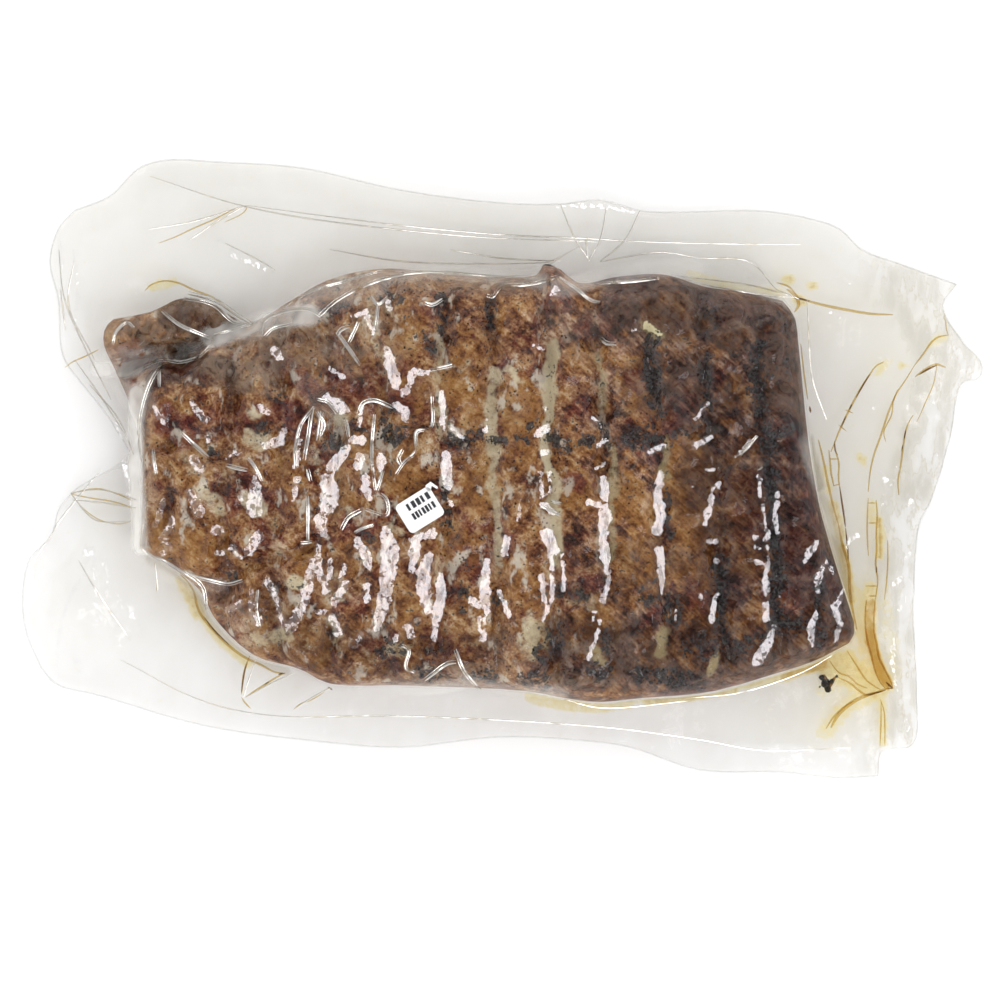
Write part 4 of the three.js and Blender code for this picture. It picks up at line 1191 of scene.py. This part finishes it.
milky = maths(tree, "MULTIPLY", mask(tree, "tent"), streaky)
surfaced(tree, mixed(tree, share, mixed(tree, milky, clear(tree, tint), milk), shine))
pouch_film.data.materials.append(clear_film)
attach(pouch_film, "root")
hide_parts("pouch")

# %% [markdown]
# ## Lines that follow the film
#
# Sharp creases and threads of juice both follow a path over the film. Geometry Nodes sweep a small
# profile along all of a kind's paths at once, and the radius kept at each point thins the ends.

# %% A sweep along paths, as one Geometry Nodes tree
from mathutils.bvhtree import BVHTree

front_faces = [f for f in film.faces[:27]]
front_tree = BVHTree.FromPolygons([tuple(p) for p in film_points[:front_count]],
                                  [tuple(f) for faces in front_faces for f in faces.tolist()])


def film_height(x, y):
    """Height of the front film at a point seen from above, in millimetres."""
    hit = front_tree.ray_cast(Vector((x, y, 200.0)), Vector((0, 0, -1)))
    return hit[0].z if hit[0] else 2.0


def sweep_tree(name, flatness, finish):
    tree = bpy.data.node_groups.new(name, "GeometryNodeTree")
    tree.interface.new_socket("Paths", in_out="INPUT", socket_type="NodeSocketGeometry")
    tree.interface.new_socket("Thickness", in_out="INPUT", socket_type="NodeSocketFloat")
    tree.interface.new_socket("Swept", in_out="OUTPUT", socket_type="NodeSocketGeometry")
    given, made = tree.nodes.new("NodeGroupInput"), tree.nodes.new("NodeGroupOutput")
    inputs = {"Resolution": 6, "Radius": given.outputs["Thickness"]}
    profile = add(tree, "GeometryNodeCurvePrimitiveCircle", inputs)
    flat = add(tree, "GeometryNodeTransform", {"Geometry": profile.outputs[0], "Scale": (1.0, flatness, 1.0)})
    inputs = {"Curve": given.outputs["Paths"], "Profile Curve": flat.outputs[0], "Fill Caps": True}
    swept = add(tree, "GeometryNodeCurveToMesh", inputs)
    if "Scale" in swept.inputs:
        tree.links.new(add(tree, "GeometryNodeInputRadius").outputs[0], swept.inputs["Scale"])
    real = add(tree, "GeometryNodeRealizeInstances", {0: swept.outputs[0]})
    painted = add(tree, "GeometryNodeSetMaterial", {"Geometry": real.outputs[0], "Material": finish})
    tree.links.new(painted.outputs[0], made.inputs[0])
    return tree


def grown(name, data, tree, **values):
    """Runs a Geometry Nodes tree on a guide with these inputs and keeps what it makes as a plain mesh."""
    guide = bpy.data.objects.new(name + "_guide", data)
    bpy.context.collection.objects.link(guide)
    modifier = guide.modifiers.new("grow", "NODES")
    modifier.node_group = tree
    for title, value in values.items():
        socket = next(s for s in tree.interface.items_tree if s.name == title)
        modifier[socket.identifier] = value
    bpy.context.view_layer.update()
    mesh = bpy.data.meshes.new_from_object(guide.evaluated_get(bpy.context.evaluated_depsgraph_get()))
    bpy.data.objects.remove(guide)
    return linked(name, mesh)


def swept_piece(name, paths, tree, thickness):
    """Sweeps `tree` along paths of (x, y, z, radius) in millimetres and keeps the result as a plain mesh."""
    curve = bpy.data.curves.new(name, "CURVE")
    curve.dimensions = "3D"
    for path in paths:
        spline = curve.splines.new("POLY")
        spline.points.add(len(path) - 1)
        for point, (x, y, z, radius) in zip(spline.points, path):
            point.co = (x * MM, y * MM, z * MM, 1.0)
            point.radius = radius
    piece = grown(name, curve, tree, Thickness=thickness * MM)
    piece.data.shade_smooth()
    print(name, "is", len(piece.data.polygons), "faces along", len(paths), "paths")
    return piece


# %% [markdown]
# ## Creases in the film
#
# A crease is a sharp little ridge. However it turns, some part of it faces the light, so it shows as a
# bright thread on the meat and as a faint line on the empty film. Its edges are tinted darker, a painted
# shadow line beside the thread.

# %% The creases
CREASES_ON_MEAT = [seen_path(crease, height=44) for crease in [
    [(108, 343), (112, 329), (122, 319), (130, 325)],
    [(157, 309), (175, 323), (197, 333), (209, 339), (207, 345)],
    [(179, 294), (209, 301), (228, 317), (242, 322)], [(182, 290), (211, 298), (232, 312), (247, 322)],
    [(209, 332), (232, 325), (258, 317)], [(260, 335), (262, 320), (280, 311), (307, 309), (319, 316)],
    [(262, 334), (270, 326), (290, 321)],
    [(319, 315), (337, 299), (367, 284), (400, 274), (440, 270), (480, 273), (540, 277)],
    [(280, 307), (303, 291), (343, 278), (380, 268)], [(335, 331), (346, 346), (359, 365)],
    [(347, 341), (357, 321)], [(337, 335), (341, 329), (349, 327)], [(371, 295), (377, 303), (387, 295)],
    [(377, 303), (375, 325)], [(126, 371), (157, 357), (175, 359), (197, 353), (207, 343)],
    [(157, 361), (143, 390), (134, 425), (133, 450), (138, 461)], [(157, 369), (158, 386)],
    [(150, 448), (154, 480)], [(181, 432), (194, 445), (207, 456)], [(225, 466), (246, 471)],
    [(247, 456), (256, 468), (262, 481)], [(313, 406), (300, 424), (294, 448), (294, 467)],
    [(313, 408), (308, 438), (305, 460)], [(306, 469), (309, 481)], [(308, 496), (308, 540)],
    [(300, 544), (311, 543)], [(317, 398), (327, 400), (337, 412)],
    [(359, 414), (363, 404), (373, 401), (392, 408)], [(375, 414), (372, 450), (376, 490)],
    [(431, 396), (430, 427), (416, 431), (415, 451), (403, 462), (395, 474)],
    [(402, 466), (397, 460), (402, 449)], [(342, 530), (349, 518), (361, 511)],
    [(354, 532), (361, 528), (373, 524)],
    [(365, 510), (376, 514), (387, 516), (389, 507), (386, 497), (381, 493)], [(346, 419), (349, 437)],
    [(320, 411), (316, 440)], [(317, 411), (324, 424), (320, 436)], [(382, 470), (376, 490)],
    [(140, 525), (138, 549), (160, 561), (181, 573), (205, 580), (225, 584), (240, 580)],
    [(181, 574), (197, 588), (201, 612)], [(257, 590), (256, 610), (259, 627)],
    [(401, 646), (408, 650), (405, 668), (415, 673)], [(456, 649), (465, 671), (481, 691)],
    [(425, 681), (448, 664), (456, 663)], [(551, 500), (561, 503)], [(541, 506), (560, 516)],
    [(425, 302), (432, 304), (442, 298)],
    [(486, 296), (493, 297), (502, 287), (523, 285), (545, 281), (560, 276)],
    [(560, 276), (575, 286), (592, 299), (600, 301)], [(600, 283), (630, 281), (660, 278)],
    [(430, 369), (452, 364)], [(600, 338), (606, 344), (616, 345)], [(757, 437), (740, 456)],
    [(757, 470), (762, 467)],
]]
CREASES_ROUND_MEAT = [seen_path(crease, height=6) for crease in [
    [(60, 250), (66, 300), (84, 345), (112, 400)], [(76, 262), (70, 305), (95, 360)],
    [(75, 360), (100, 395), (130, 440)], [(90, 385), (120, 420), (135, 455)],
    [(70, 493), (100, 490), (138, 500)], [(72, 500), (105, 503), (138, 508)],
    [(70, 493), (95, 520), (130, 522)], [(80, 560), (104, 600), (130, 640)],
    [(150, 176), (240, 205), (330, 222), (450, 235), (600, 243)],
    [(245, 205), (400, 226), (560, 238), (700, 243), (800, 245)],
    [(120, 660), (200, 700), (270, 715), (400, 716), (600, 727), (700, 740), (760, 750), (850, 748)],
    [(150, 230), (190, 222), (244, 206)], [(245, 206), (222, 218), (190, 240)],
    [(560, 205), (575, 240), (590, 262)], [(606, 208), (600, 240), (588, 262)], [(585, 238), (588, 262)],
    [(640, 210), (625, 240), (600, 262)], [(450, 250), (500, 258), (560, 262)],
    [(330, 250), (400, 262), (480, 264), (550, 263)], [(600, 262), (660, 252), (699, 258)],
    [(699, 258), (750, 262), (776, 290)], [(669, 276), (748, 285), (795, 298)],
    [(700, 285), (750, 296), (795, 298)], [(776, 290), (798, 300)],
    [(806, 300), (808, 340), (812, 380), (826, 420)], [(257, 658), (249, 680), (244, 697)],
    [(295, 672), (270, 684), (246, 697)], [(333, 686), (313, 697), (297, 707)], [(156, 562), (158, 590)],
    [(690, 697), (740, 692), (800, 672), (830, 655)], [(560, 697), (600, 707), (690, 700)],
    [(225, 243), (262, 262), (275, 270)], [(100, 470), (60, 520), (35, 560)], [(62, 290), (66, 330)],
]]


def on_film(path, lift, step=1.5, taper=0.35, beside=0.0):
    """A path laid on the film, `beside` mm to one side, with a radius that thins towards both ends."""
    smooth = smooth_path(path, 12) if len(path) > 2 else np.asarray(path, float)
    along = np.gradient(smooth, axis=0)
    along /= np.linalg.norm(along, axis=1)[:, None] + 1e-9
    smooth = smooth + beside * np.column_stack([-along[:, 1], along[:, 0]])
    length = np.linalg.norm(np.diff(smooth, axis=0), axis=1).sum()
    shares = np.linspace(0, 1, max(4, int(length / step)))
    points = at_shares(smooth, shares)
    radius = taper + (1 - taper) * np.sin(math.pi * shares) ** 0.6
    return [(x, y, film_height(x, y) + lift, r) for (x, y), r in zip(points, radius)]


crease_film, tree = material("creased_film")
normal = add(tree, "ShaderNodeNewGeometry").outputs["Normal"]
turned = vectors(tree, "ADD", swung(tree, wobbly(tree, 0.25), 0.4), tuple(2.2 * facet_normal))
turned = vectors(tree, "NORMALIZE", vectors(tree, "ADD", turned, normal))
edge = add(tree, "ShaderNodeLayerWeight", {"Blend": 0.5}).outputs["Facing"]
# Painted shade: the tube is tinted darker towards its edges as seen, the shadow line beside a crease.
shaded_edge_tint = blend(tree, ramp(tree, edge, 0.25, 0.7), (0.97, 0.95, 0.9, 1), (0.55, 0.5, 0.4, 1))
shine = gloss(tree, (1, 0.985, 0.96, 1), 0.14, Normal=turned)
share = maths(tree, "MULTIPLY", ramp(tree, grain(tree, 11, 3, 0.5), 0.34, 0.5), 0.5)
share = maths(tree, "ADD", share, 0.02, clamp=True)
surfaced(tree, mixed(tree, share, clear(tree, shaded_edge_tint), shine))

crease_sweep = sweep_tree("crease_sweep", 0.8, crease_film)
paths = [on_film(p, 0.1) for p in CREASES_ON_MEAT]
for order, path in enumerate(CREASES_ON_MEAT):  # film folds over in a pair of ridges
    side = 1 if order % 2 else -1
    companion = on_film(path, 0.1, beside=side * (0.85 + 0.13 * (order % 4)))
    paths.append([(x, y, z, 0.45 * r) for x, y, z, r in companion])
film_creases = swept_piece("film_creases", paths, crease_sweep, 0.58)
paths = [on_film(p, 0.1) for p in CREASES_ROUND_MEAT]
skirt_creases = swept_piece("skirt_creases", paths, crease_sweep, 0.4)
for piece in (film_creases, skirt_creases):
    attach(piece, "root")
    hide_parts("pouch")

# %% [markdown]
# ## Juice in the folds
#
# The juice that the vacuum drew out has run into the folds of the empty film and dried there as amber
# threads with brown cores. They lie between the two sheets, so they are swept just under the front film.

# %% The juice threads: path and half width
JUICE_THREADS = [  # in millimetres
    ([(183.5, -109), (177.5, -110.6), (172.3, -112.8), (167.2, -116.4), (163, -121),
      (160, -126.5)], 0.95), ([(171, -113.4), (166, -116.6), (161, -121.6), (157.6, -127)], 0.5),
] + [(seen_path(path, height=4), half_width) for path, half_width in [
    ([(790, 298), (800, 300), (815, 304), (833, 308), (850, 311), (870, 314), (892, 315)], 0.7),
    ([(786, 290), (795, 297), (797, 306), (793, 313)], 0.9),
    ([(776, 283), (788, 287), (796, 297)], 0.45),
    ([(884, 362), (876, 366), (870, 374), (862, 386), (855, 399), (849, 410), (843, 422), (838, 433),
      (833, 445), (830, 452)], 0.55), ([(828, 450), (829, 460), (830, 472), (833, 486)], 0.5),
    ([(834, 443), (835, 452), (838, 462), (838, 480), (840, 492)], 0.45),
    ([(828, 459), (838, 459)], 0.35), ([(832, 486), (839, 484)], 0.3), ([(845, 410), (853, 413)], 0.3),
    ([(838, 425), (846, 431)], 0.3), ([(946, 336), (936, 338), (930, 342), (921, 355), (913, 366)], 0.5),
    ([(945, 314), (944, 328), (946, 337)], 0.3),
    ([(913, 366), (905, 380), (897, 392), (890, 408), (886, 420), (880, 438), (874, 455), (870, 472),
      (868, 492)], 0.5), ([(897, 390), (893, 402), (892, 414), (884, 432), (886, 442)], 0.35),
    ([(914, 377), (925, 369), (935, 365), (944, 368)], 0.6),
    ([(935, 365), (932, 385), (924, 405), (917, 422)], 0.3),
    ([(913, 415), (908, 425), (905, 436), (903, 450), (901, 465), (898, 480), (899, 495)], 0.5),
    ([(868, 498), (867, 520), (867, 540), (868, 556)], 0.4),
    ([(876, 500), (877, 515), (876, 530), (876, 550), (875, 565), (877, 580), (876, 592),
      (875, 600)], 0.5), ([(868, 503), (876, 503)], 0.35), ([(868, 523), (876, 523)], 0.35),
    ([(865, 586), (877, 586)], 0.35), ([(868, 596), (876, 596)], 0.35),
    ([(866, 600), (865, 620), (867, 640), (871, 655), (874, 668), (880, 682), (885, 688)], 0.5),
    ([(875, 600), (874, 615), (874, 630), (877, 645), (879, 658), (884, 668), (890, 680),
      (893, 687)], 0.55), ([(887, 540), (887, 560), (886, 580), (884, 600)], 0.4),
    ([(893, 687), (882, 690), (872, 694), (866, 695), (858, 690), (848, 682), (837, 677)], 0.55),
    ([(845, 650), (852, 660), (860, 672), (866, 680), (874, 686), (881, 690)], 0.45),
    ([(828, 660), (838, 672), (848, 676), (857, 684), (867, 688)], 0.4),
    ([(880, 699), (884, 710), (885, 725), (885, 746)], 0.35),
    ([(881, 702), (881, 722), (880, 746)], 0.35),
    ([(838, 525), (842, 545), (848, 565), (849, 590), (851, 610), (855, 629)], 0.8),
    ([(817, 440), (822, 460), (826, 480), (832, 505), (838, 525)], 0.6),
    ([(799, 345), (802, 372), (806, 400)], 0.4),
    ([(251, 655), (246, 668), (243, 682), (242, 694)], 0.55),
    ([(286, 672), (275, 678), (266, 684), (256, 690), (246, 697)], 0.5),
    ([(331, 686), (322, 693), (312, 699), (300, 704), (294, 709)], 0.35),
    ([(184, 574), (195, 590), (198, 605), (202, 614), (215, 630), (230, 645), (245, 656), (262, 664),
      (275, 671), (286, 673)], 0.7), ([(156, 562), (157, 572), (158, 583), (157, 591)], 0.4),
    ([(71, 494), (85, 490), (100, 489), (115, 493), (130, 499), (140, 504)], 0.35),
    ([(71, 494), (90, 498), (110, 501), (125, 505), (137, 510)], 0.35),
    ([(72, 496), (85, 510), (100, 520), (120, 524), (135, 520)], 0.25),
    ([(242, 697), (246, 703), (251, 708)], 0.4),
    ([(160, 244), (175, 238), (195, 228), (215, 219), (235, 209), (247, 207), (243, 213),
      (225, 222)], 0.35),
    ([(147, 292), (153, 286), (166, 282), (180, 284), (195, 291), (215, 299), (232, 312),
      (243, 321)], 0.5), ([(64, 367), (75, 361), (85, 357), (100, 350)], 0.35),
]]
DRIED_JUICE = [(seen_path(path, height=4), half_width) for path, half_width in [
    ([(870, 374), (862, 387), (856, 398)], 0.35), ([(852, 404), (849, 410)], 0.35),
    ([(846, 416), (843, 422), (841, 427)], 0.35), ([(834, 441), (834, 450), (837, 455)], 0.3),
    ([(839, 487), (841, 500), (843, 513), (845, 527)], 0.45),
    ([(845, 528), (847, 545), (848, 560)], 0.4), ([(918, 375), (926, 370), (935, 366)], 0.45),
    ([(906, 430), (904, 440)], 0.35), ([(903, 445), (902, 452)], 0.3),
    ([(886, 682), (890, 686), (893, 688), (888, 689)], 0.6), ([(866, 695), (876, 693), (886, 690)], 0.4),
    ([(793, 299), (800, 300), (808, 302)], 0.5), ([(823, 674), (826, 682), (829, 688)], 1.2),
    ([(829, 688), (832, 680), (835, 676)], 0.9),
    ([(248, 662), (245, 672), (243, 684), (242, 692)], 0.35), ([(284, 672), (279, 674)], 0.4),
    ([(270, 681), (265, 684)], 0.3), ([(808, 407), (809, 413)], 0.5), ([(329, 686), (333, 689)], 0.35),
    ([(876, 566), (876, 573)], 0.3), ([(205, 616), (215, 629), (230, 644)], 0.35),
]]


def stained(name, colour):
    made, tree = material(name)
    surfaced(tree, mixed(tree, 0.03, clear(tree, colour), gloss(tree, (1, 1, 1, 1), 0.1)))
    return made


def threads(name, rows, finish):
    paths = [[(x, y, z, r * width) for x, y, z, r in on_film(path, -0.7)] for path, width in rows]
    piece = swept_piece(name, paths, sweep_tree(name + "_sweep", 0.5, finish), 1.0)
    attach(piece, "root")
    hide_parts("pouch")


threads("juice", JUICE_THREADS, stained("amber_juice", (0.84, 0.74, 0.5, 1)))
threads("dried_juice", DRIED_JUICE, stained("dried_juice", (0.5, 0.37, 0.24, 1)))

# %% [markdown]
# ## Crumbs of char
#
# Where the cords burned the bark, bits of char stand up or lie loose under the film, and a few have
# drifted into the juice at the lower corner. Modelling them keeps their edges sharp. Geometry Nodes put one
# rough pebble on each of some two hundred points, turned by a fixed seed and sized by an attribute.

# %% Where the crumbs lie
rng = np.random.default_rng(17)
crumb_spots = [(155.3, -101.8, 1.5), (157.4, -104.8, 2.4), (158.4, -107.6, 1.7), (160.2, -103.6, 1.2),
               (162.4, -101.2, 0.7), (154.4, -106.4, 0.5)]
for path, half_width, strength in CHAR:
    points = np.asarray(path, float)
    length = np.hypot(*np.diff(points, axis=0).T).sum()
    for _ in range(int(1 + 0.11 * length * half_width * strength)):
        x, y = at_shares(points, rng.random(1))[0] + rng.normal(0, 0.55 * half_width + 0.5, 2)
        crumb_spots.append((x, y, 0.3 + 0.75 * rng.random() ** 2))
print(len(crumb_spots), "crumbs of char")

# %% The crumbs, as one Geometry Nodes tree
crumb_char, tree = material("crumb_char")
sooty = blend(tree, ramp(tree, grain(tree, 0.7, 3, 0.6), 0.45, 0.7), srgb(24, 21, 21), srgb(70, 66, 64))
surface = add(tree, "ShaderNodeBsdfPrincipled", {"Base Color": sooty, "Roughness": 0.6,
              "Specular IOR Level": 0.2})
surfaced(tree, surface)

tree = bpy.data.node_groups.new("crumb_scatter", "GeometryNodeTree")
for title, kind in (("Spots", "Geometry"), ("Radius", "Float"), ("Roughness", "Float")):
    tree.interface.new_socket(title, in_out="INPUT", socket_type="NodeSocket" + kind)
tree.interface.new_socket("Crumbs", in_out="OUTPUT", socket_type="NodeSocketGeometry")
given, made = tree.nodes.new("NodeGroupInput"), tree.nodes.new("NodeGroupOutput")
pebble = add(tree, "GeometryNodeMeshIcoSphere", {"Radius": given.outputs["Radius"], "Subdivisions": 2})
sizes = add(tree, "GeometryNodeInputNamedAttribute", {"Name": "size"}, data_type="FLOAT")
turns = add(tree, "FunctionNodeRandomValue", data_type="FLOAT_VECTOR")
low, high = [socket for socket in turns.inputs if socket.type == "VECTOR"][:2]
low.default_value, high.default_value = (0, 0, 0), (0.5, 0.5, 6.28)
next(socket for socket in turns.inputs if socket.name == "Seed").default_value = 5
placed = add(tree, "GeometryNodeInstanceOnPoints", {"Points": given.outputs["Spots"],
             "Instance": pebble.outputs[0], "Rotation": turns.outputs[0], "Scale": sizes.outputs[0]})
real = add(tree, "GeometryNodeRealizeInstances", {0: placed.outputs[0]})
lumpy = add(tree, "ShaderNodeTexNoise", {"Scale": 900.0, "Detail": 2.0})
push = swung(tree, lumpy.outputs["Color"], given.outputs["Roughness"])
rough = add(tree, "GeometryNodeSetPosition", {"Geometry": real.outputs[0], "Offset": push})
painted = add(tree, "GeometryNodeSetMaterial", {"Geometry": rough.outputs[0], "Material": crumb_char})
tree.links.new(painted.outputs[0], made.inputs[0])

spots = bpy.data.meshes.new("crumb_spots")
spots.from_pydata([(x * MM, y * MM, (film_height(x, y) - 0.55 - 0.7 * size) * MM)
                   for x, y, size in crumb_spots], [], [])
spots.attributes.new("size", "FLOAT", "POINT").data.foreach_set("value", [size for _, _, size in crumb_spots])
char_crumbs = grown("char_crumbs", spots, tree, Radius=0.001, Roughness=0.0012)
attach(char_crumbs, "root")
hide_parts("pouch")
print("char_crumbs is", len(char_crumbs.data.polygons), "faces")

# %% [markdown]
# ## The cut edge of the pouch
#
# Two sheets end in one welded edge, which is a little thicker and catches the light as a fine line.

# %% The rim
edge_film, tree = material("film_edge")
surfaced(tree, mixed(tree, 0.1, clear(tree, (0.93, 0.93, 0.93, 1)), gloss(tree, (1, 1, 1, 1), 0.2)))
around = skirt_loop(1.0, front=True)
around = np.vstack([around, around[:1]])
lines = [[(x, y, z - 0.4, 1.0) for x, y, z in around[::2]]]
pouch_rim = swept_piece("pouch_rim", lines, sweep_tree("rim_sweep", 0.7, edge_film), 0.45)
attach(pouch_rim, "root")
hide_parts("pouch")

# %% [markdown]
# ## The price label
#
# A small paper label with rounded corners is stuck on the film, and a torn flap of its paper sticks out
# flat at one corner. Its print is two rows of short bars in place of the real digits.

# %% The label
LABEL_SIZE, LABEL_CORNER, LABEL_THICK = (19.3, 15.7), 2.2, 0.2


def on_label(x, y, lift):
    """From the label's own plane to the pack's, in millimetres."""
    c, s = math.cos(LABEL_TURN), math.sin(LABEL_TURN)
    px, py = LABEL_AT[0] + x * c - y * s, LABEL_AT[1] + x * s + y * c
    return (px, py, float(label_plane(px, py)) + 0.35 + lift)


def rounded_outline(width, height, corner, steps=8):
    points = []
    for cx, cy, start in ((1, -1, -90), (1, 1, 0), (-1, 1, 90), (-1, -1, 180)):
        for k in range(steps + 1):
            angle = math.radians(start + 90 * k / steps)
            points.append((cx * (width / 2 - corner) + corner * math.cos(angle),
                           cy * (height / 2 - corner) + corner * math.sin(angle)))
    return points


def flat_piece(name, outlines, low, high):
    """Thin plates with the given outlines, from height `low` to `high` above the label's plane."""
    points, faces = [], []
    for outline in outlines:
        base, n = len(points), len(outline)
        points += [on_label(x, y, low) for x, y in outline] + [on_label(x, y, high) for x, y in outline]
        faces.append([base + i for i in reversed(range(n))])
        faces.append([base + n + i for i in range(n)])
        faces += [[base + i, base + (i + 1) % n, base + n + (i + 1) % n, base + n + i] for i in range(n)]
    mesh = bpy.data.meshes.new(name)
    mesh.from_pydata([tuple(c * MM for c in p) for p in points], [], faces)
    mesh.update()
    return linked(name, mesh)


TORN_CORNER = [(8.4, 4.9), (9.4, 5.2), (10.9, 6.8), (12.4, 4.1), (13.2, 4.9), (11.5, 8.8), (8.5, 8.6),
               (7.6, 7.0)]
label_outlines = [rounded_outline(*LABEL_SIZE, LABEL_CORNER), TORN_CORNER]
label_paper = flat_piece("label_paper", label_outlines, 0.0, LABEL_THICK)
bars = []
for row, (count, left, pitch, low, tall) in enumerate(((5, -4.6, 2.6, 2.2, 3.5), (7, -4.6, 1.82, -2.8, 3.3))):
    for k in range(count):
        x, wide = left + k * pitch, pitch * (0.72 if (k + row) % 3 else 0.5)
        bars.append([(x, low), (x + wide, low), (x + wide, low + tall), (x, low + tall)])
label_print = flat_piece("label_print", bars, LABEL_THICK + 0.02, LABEL_THICK + 0.05)

paper, tree = material("label_paper")
fibres = grain(tree, 0.6, 3, 0.6)
white = blend(tree, ramp(tree, fibres, 0.35, 0.7), srgb(243, 243, 241), srgb(252, 252, 251))
surface = add(tree, "ShaderNodeBsdfPrincipled", {"Base Color": white, "Roughness": 0.6})
surfaced(tree, surface)
label_paper.data.materials.append(paper)
ink, tree = material("label_ink")
worn = blend(tree, ramp(tree, grain(tree, 0.5, 2, 0.6), 0.55, 0.75), srgb(34, 36, 40), srgb(96, 98, 102))
surface = add(tree, "ShaderNodeBsdfPrincipled", {"Base Color": worn, "Roughness": 0.6})
surfaced(tree, surface)
label_print.data.materials.append(ink)
for piece in (label_paper, label_print):
    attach(piece, "root")
    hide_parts("label")

# %% [markdown]
# ## Table, light and camera
#
# The pack lies on white, lit by a wide soft fill and one bright window of light low on the right, which
# is what the facets mirror. The camera looks straight down through a long lens.

# %% The table
mesh = bpy.data.meshes.new("table")
mesh.from_pydata([(-3, -3, -0.0005), (3, -3, -0.0005), (3, 3, -0.0005), (-3, 3, -0.0005)], [], [(0, 1, 2, 3)])
table = linked("table", mesh)
white_table, tree = material("white_table")
surface = add(tree, "ShaderNodeBsdfDiffuse", {"Color": (1.0, 1.0, 1.0, 1)})
surfaced(tree, surface)
mesh.materials.append(white_table)

# %% Light
world = bpy.data.worlds.new("soft_room")
bpy.context.scene.world = world
world.use_nodes = True
world.cycles.sampling_method = "NONE"  # an even sky needs no aiming of rays
world.node_tree.nodes.clear()
OVERHEAD, ROUND_ABOUT = 0.35, 2.5
upward = add(world.node_tree, "ShaderNodeTexCoord").outputs["Generated"]
upward = add(world.node_tree, "ShaderNodeSeparateXYZ", {0: upward}).outputs["Z"]
brightness = add(world.node_tree, "ShaderNodeMapRange", {"Value": upward, "From Min": 0.0, "From Max": 1.0,
                 "To Min": ROUND_ABOUT, "To Max": OVERHEAD}).outputs["Result"]
sky = add(world.node_tree, "ShaderNodeBackground", {"Color": (1, 1, 1, 1), "Strength": brightness})
add(world.node_tree, "ShaderNodeOutputWorld", {"Surface": sky.outputs[0]})

KEY_SIZE, KEY_DISTANCE, KEY_RADIANCE = (0.42, 0.52), 1.35, 4.5
key = bpy.data.lights.new("window_of_light", "AREA")
key.shape = "RECTANGLE"
key.size, key.size_y = KEY_SIZE
key.energy = KEY_RADIANCE * math.pi * KEY_SIZE[0] * KEY_SIZE[1]
key.color = (1.0, 0.985, 1.0)
key_light = linked("window_of_light", key)
key_light.location = key_direction * KEY_DISTANCE
key_light.rotation_euler = (-key_direction).to_track_quat("-Z", "Y").to_euler()
print("light at", [round(c, 2) for c in key_light.location], "facets lean",
      round(math.degrees(facet_normal.angle(Vector((0, 0, 1)))), 1), "degrees")

# %% Camera
SENSOR = 36.0
camera = bpy.data.cameras.new("camera")
camera.sensor_width = SENSOR
camera.lens = SENSOR * CAMERA_Z / VIEW_WIDTH
camera_at = linked("camera", camera)
camera_at.location = (CAMERA_X * MM, CAMERA_Y * MM, CAMERA_Z * MM)
scene = bpy.context.scene
scene.camera = camera_at
scene.view_settings.view_transform = "Standard"
scene.cycles.max_bounces = 4
scene.cycles.diffuse_bounces = 2
scene.cycles.glossy_bounces = 2
scene.cycles.transparent_max_bounces = 14
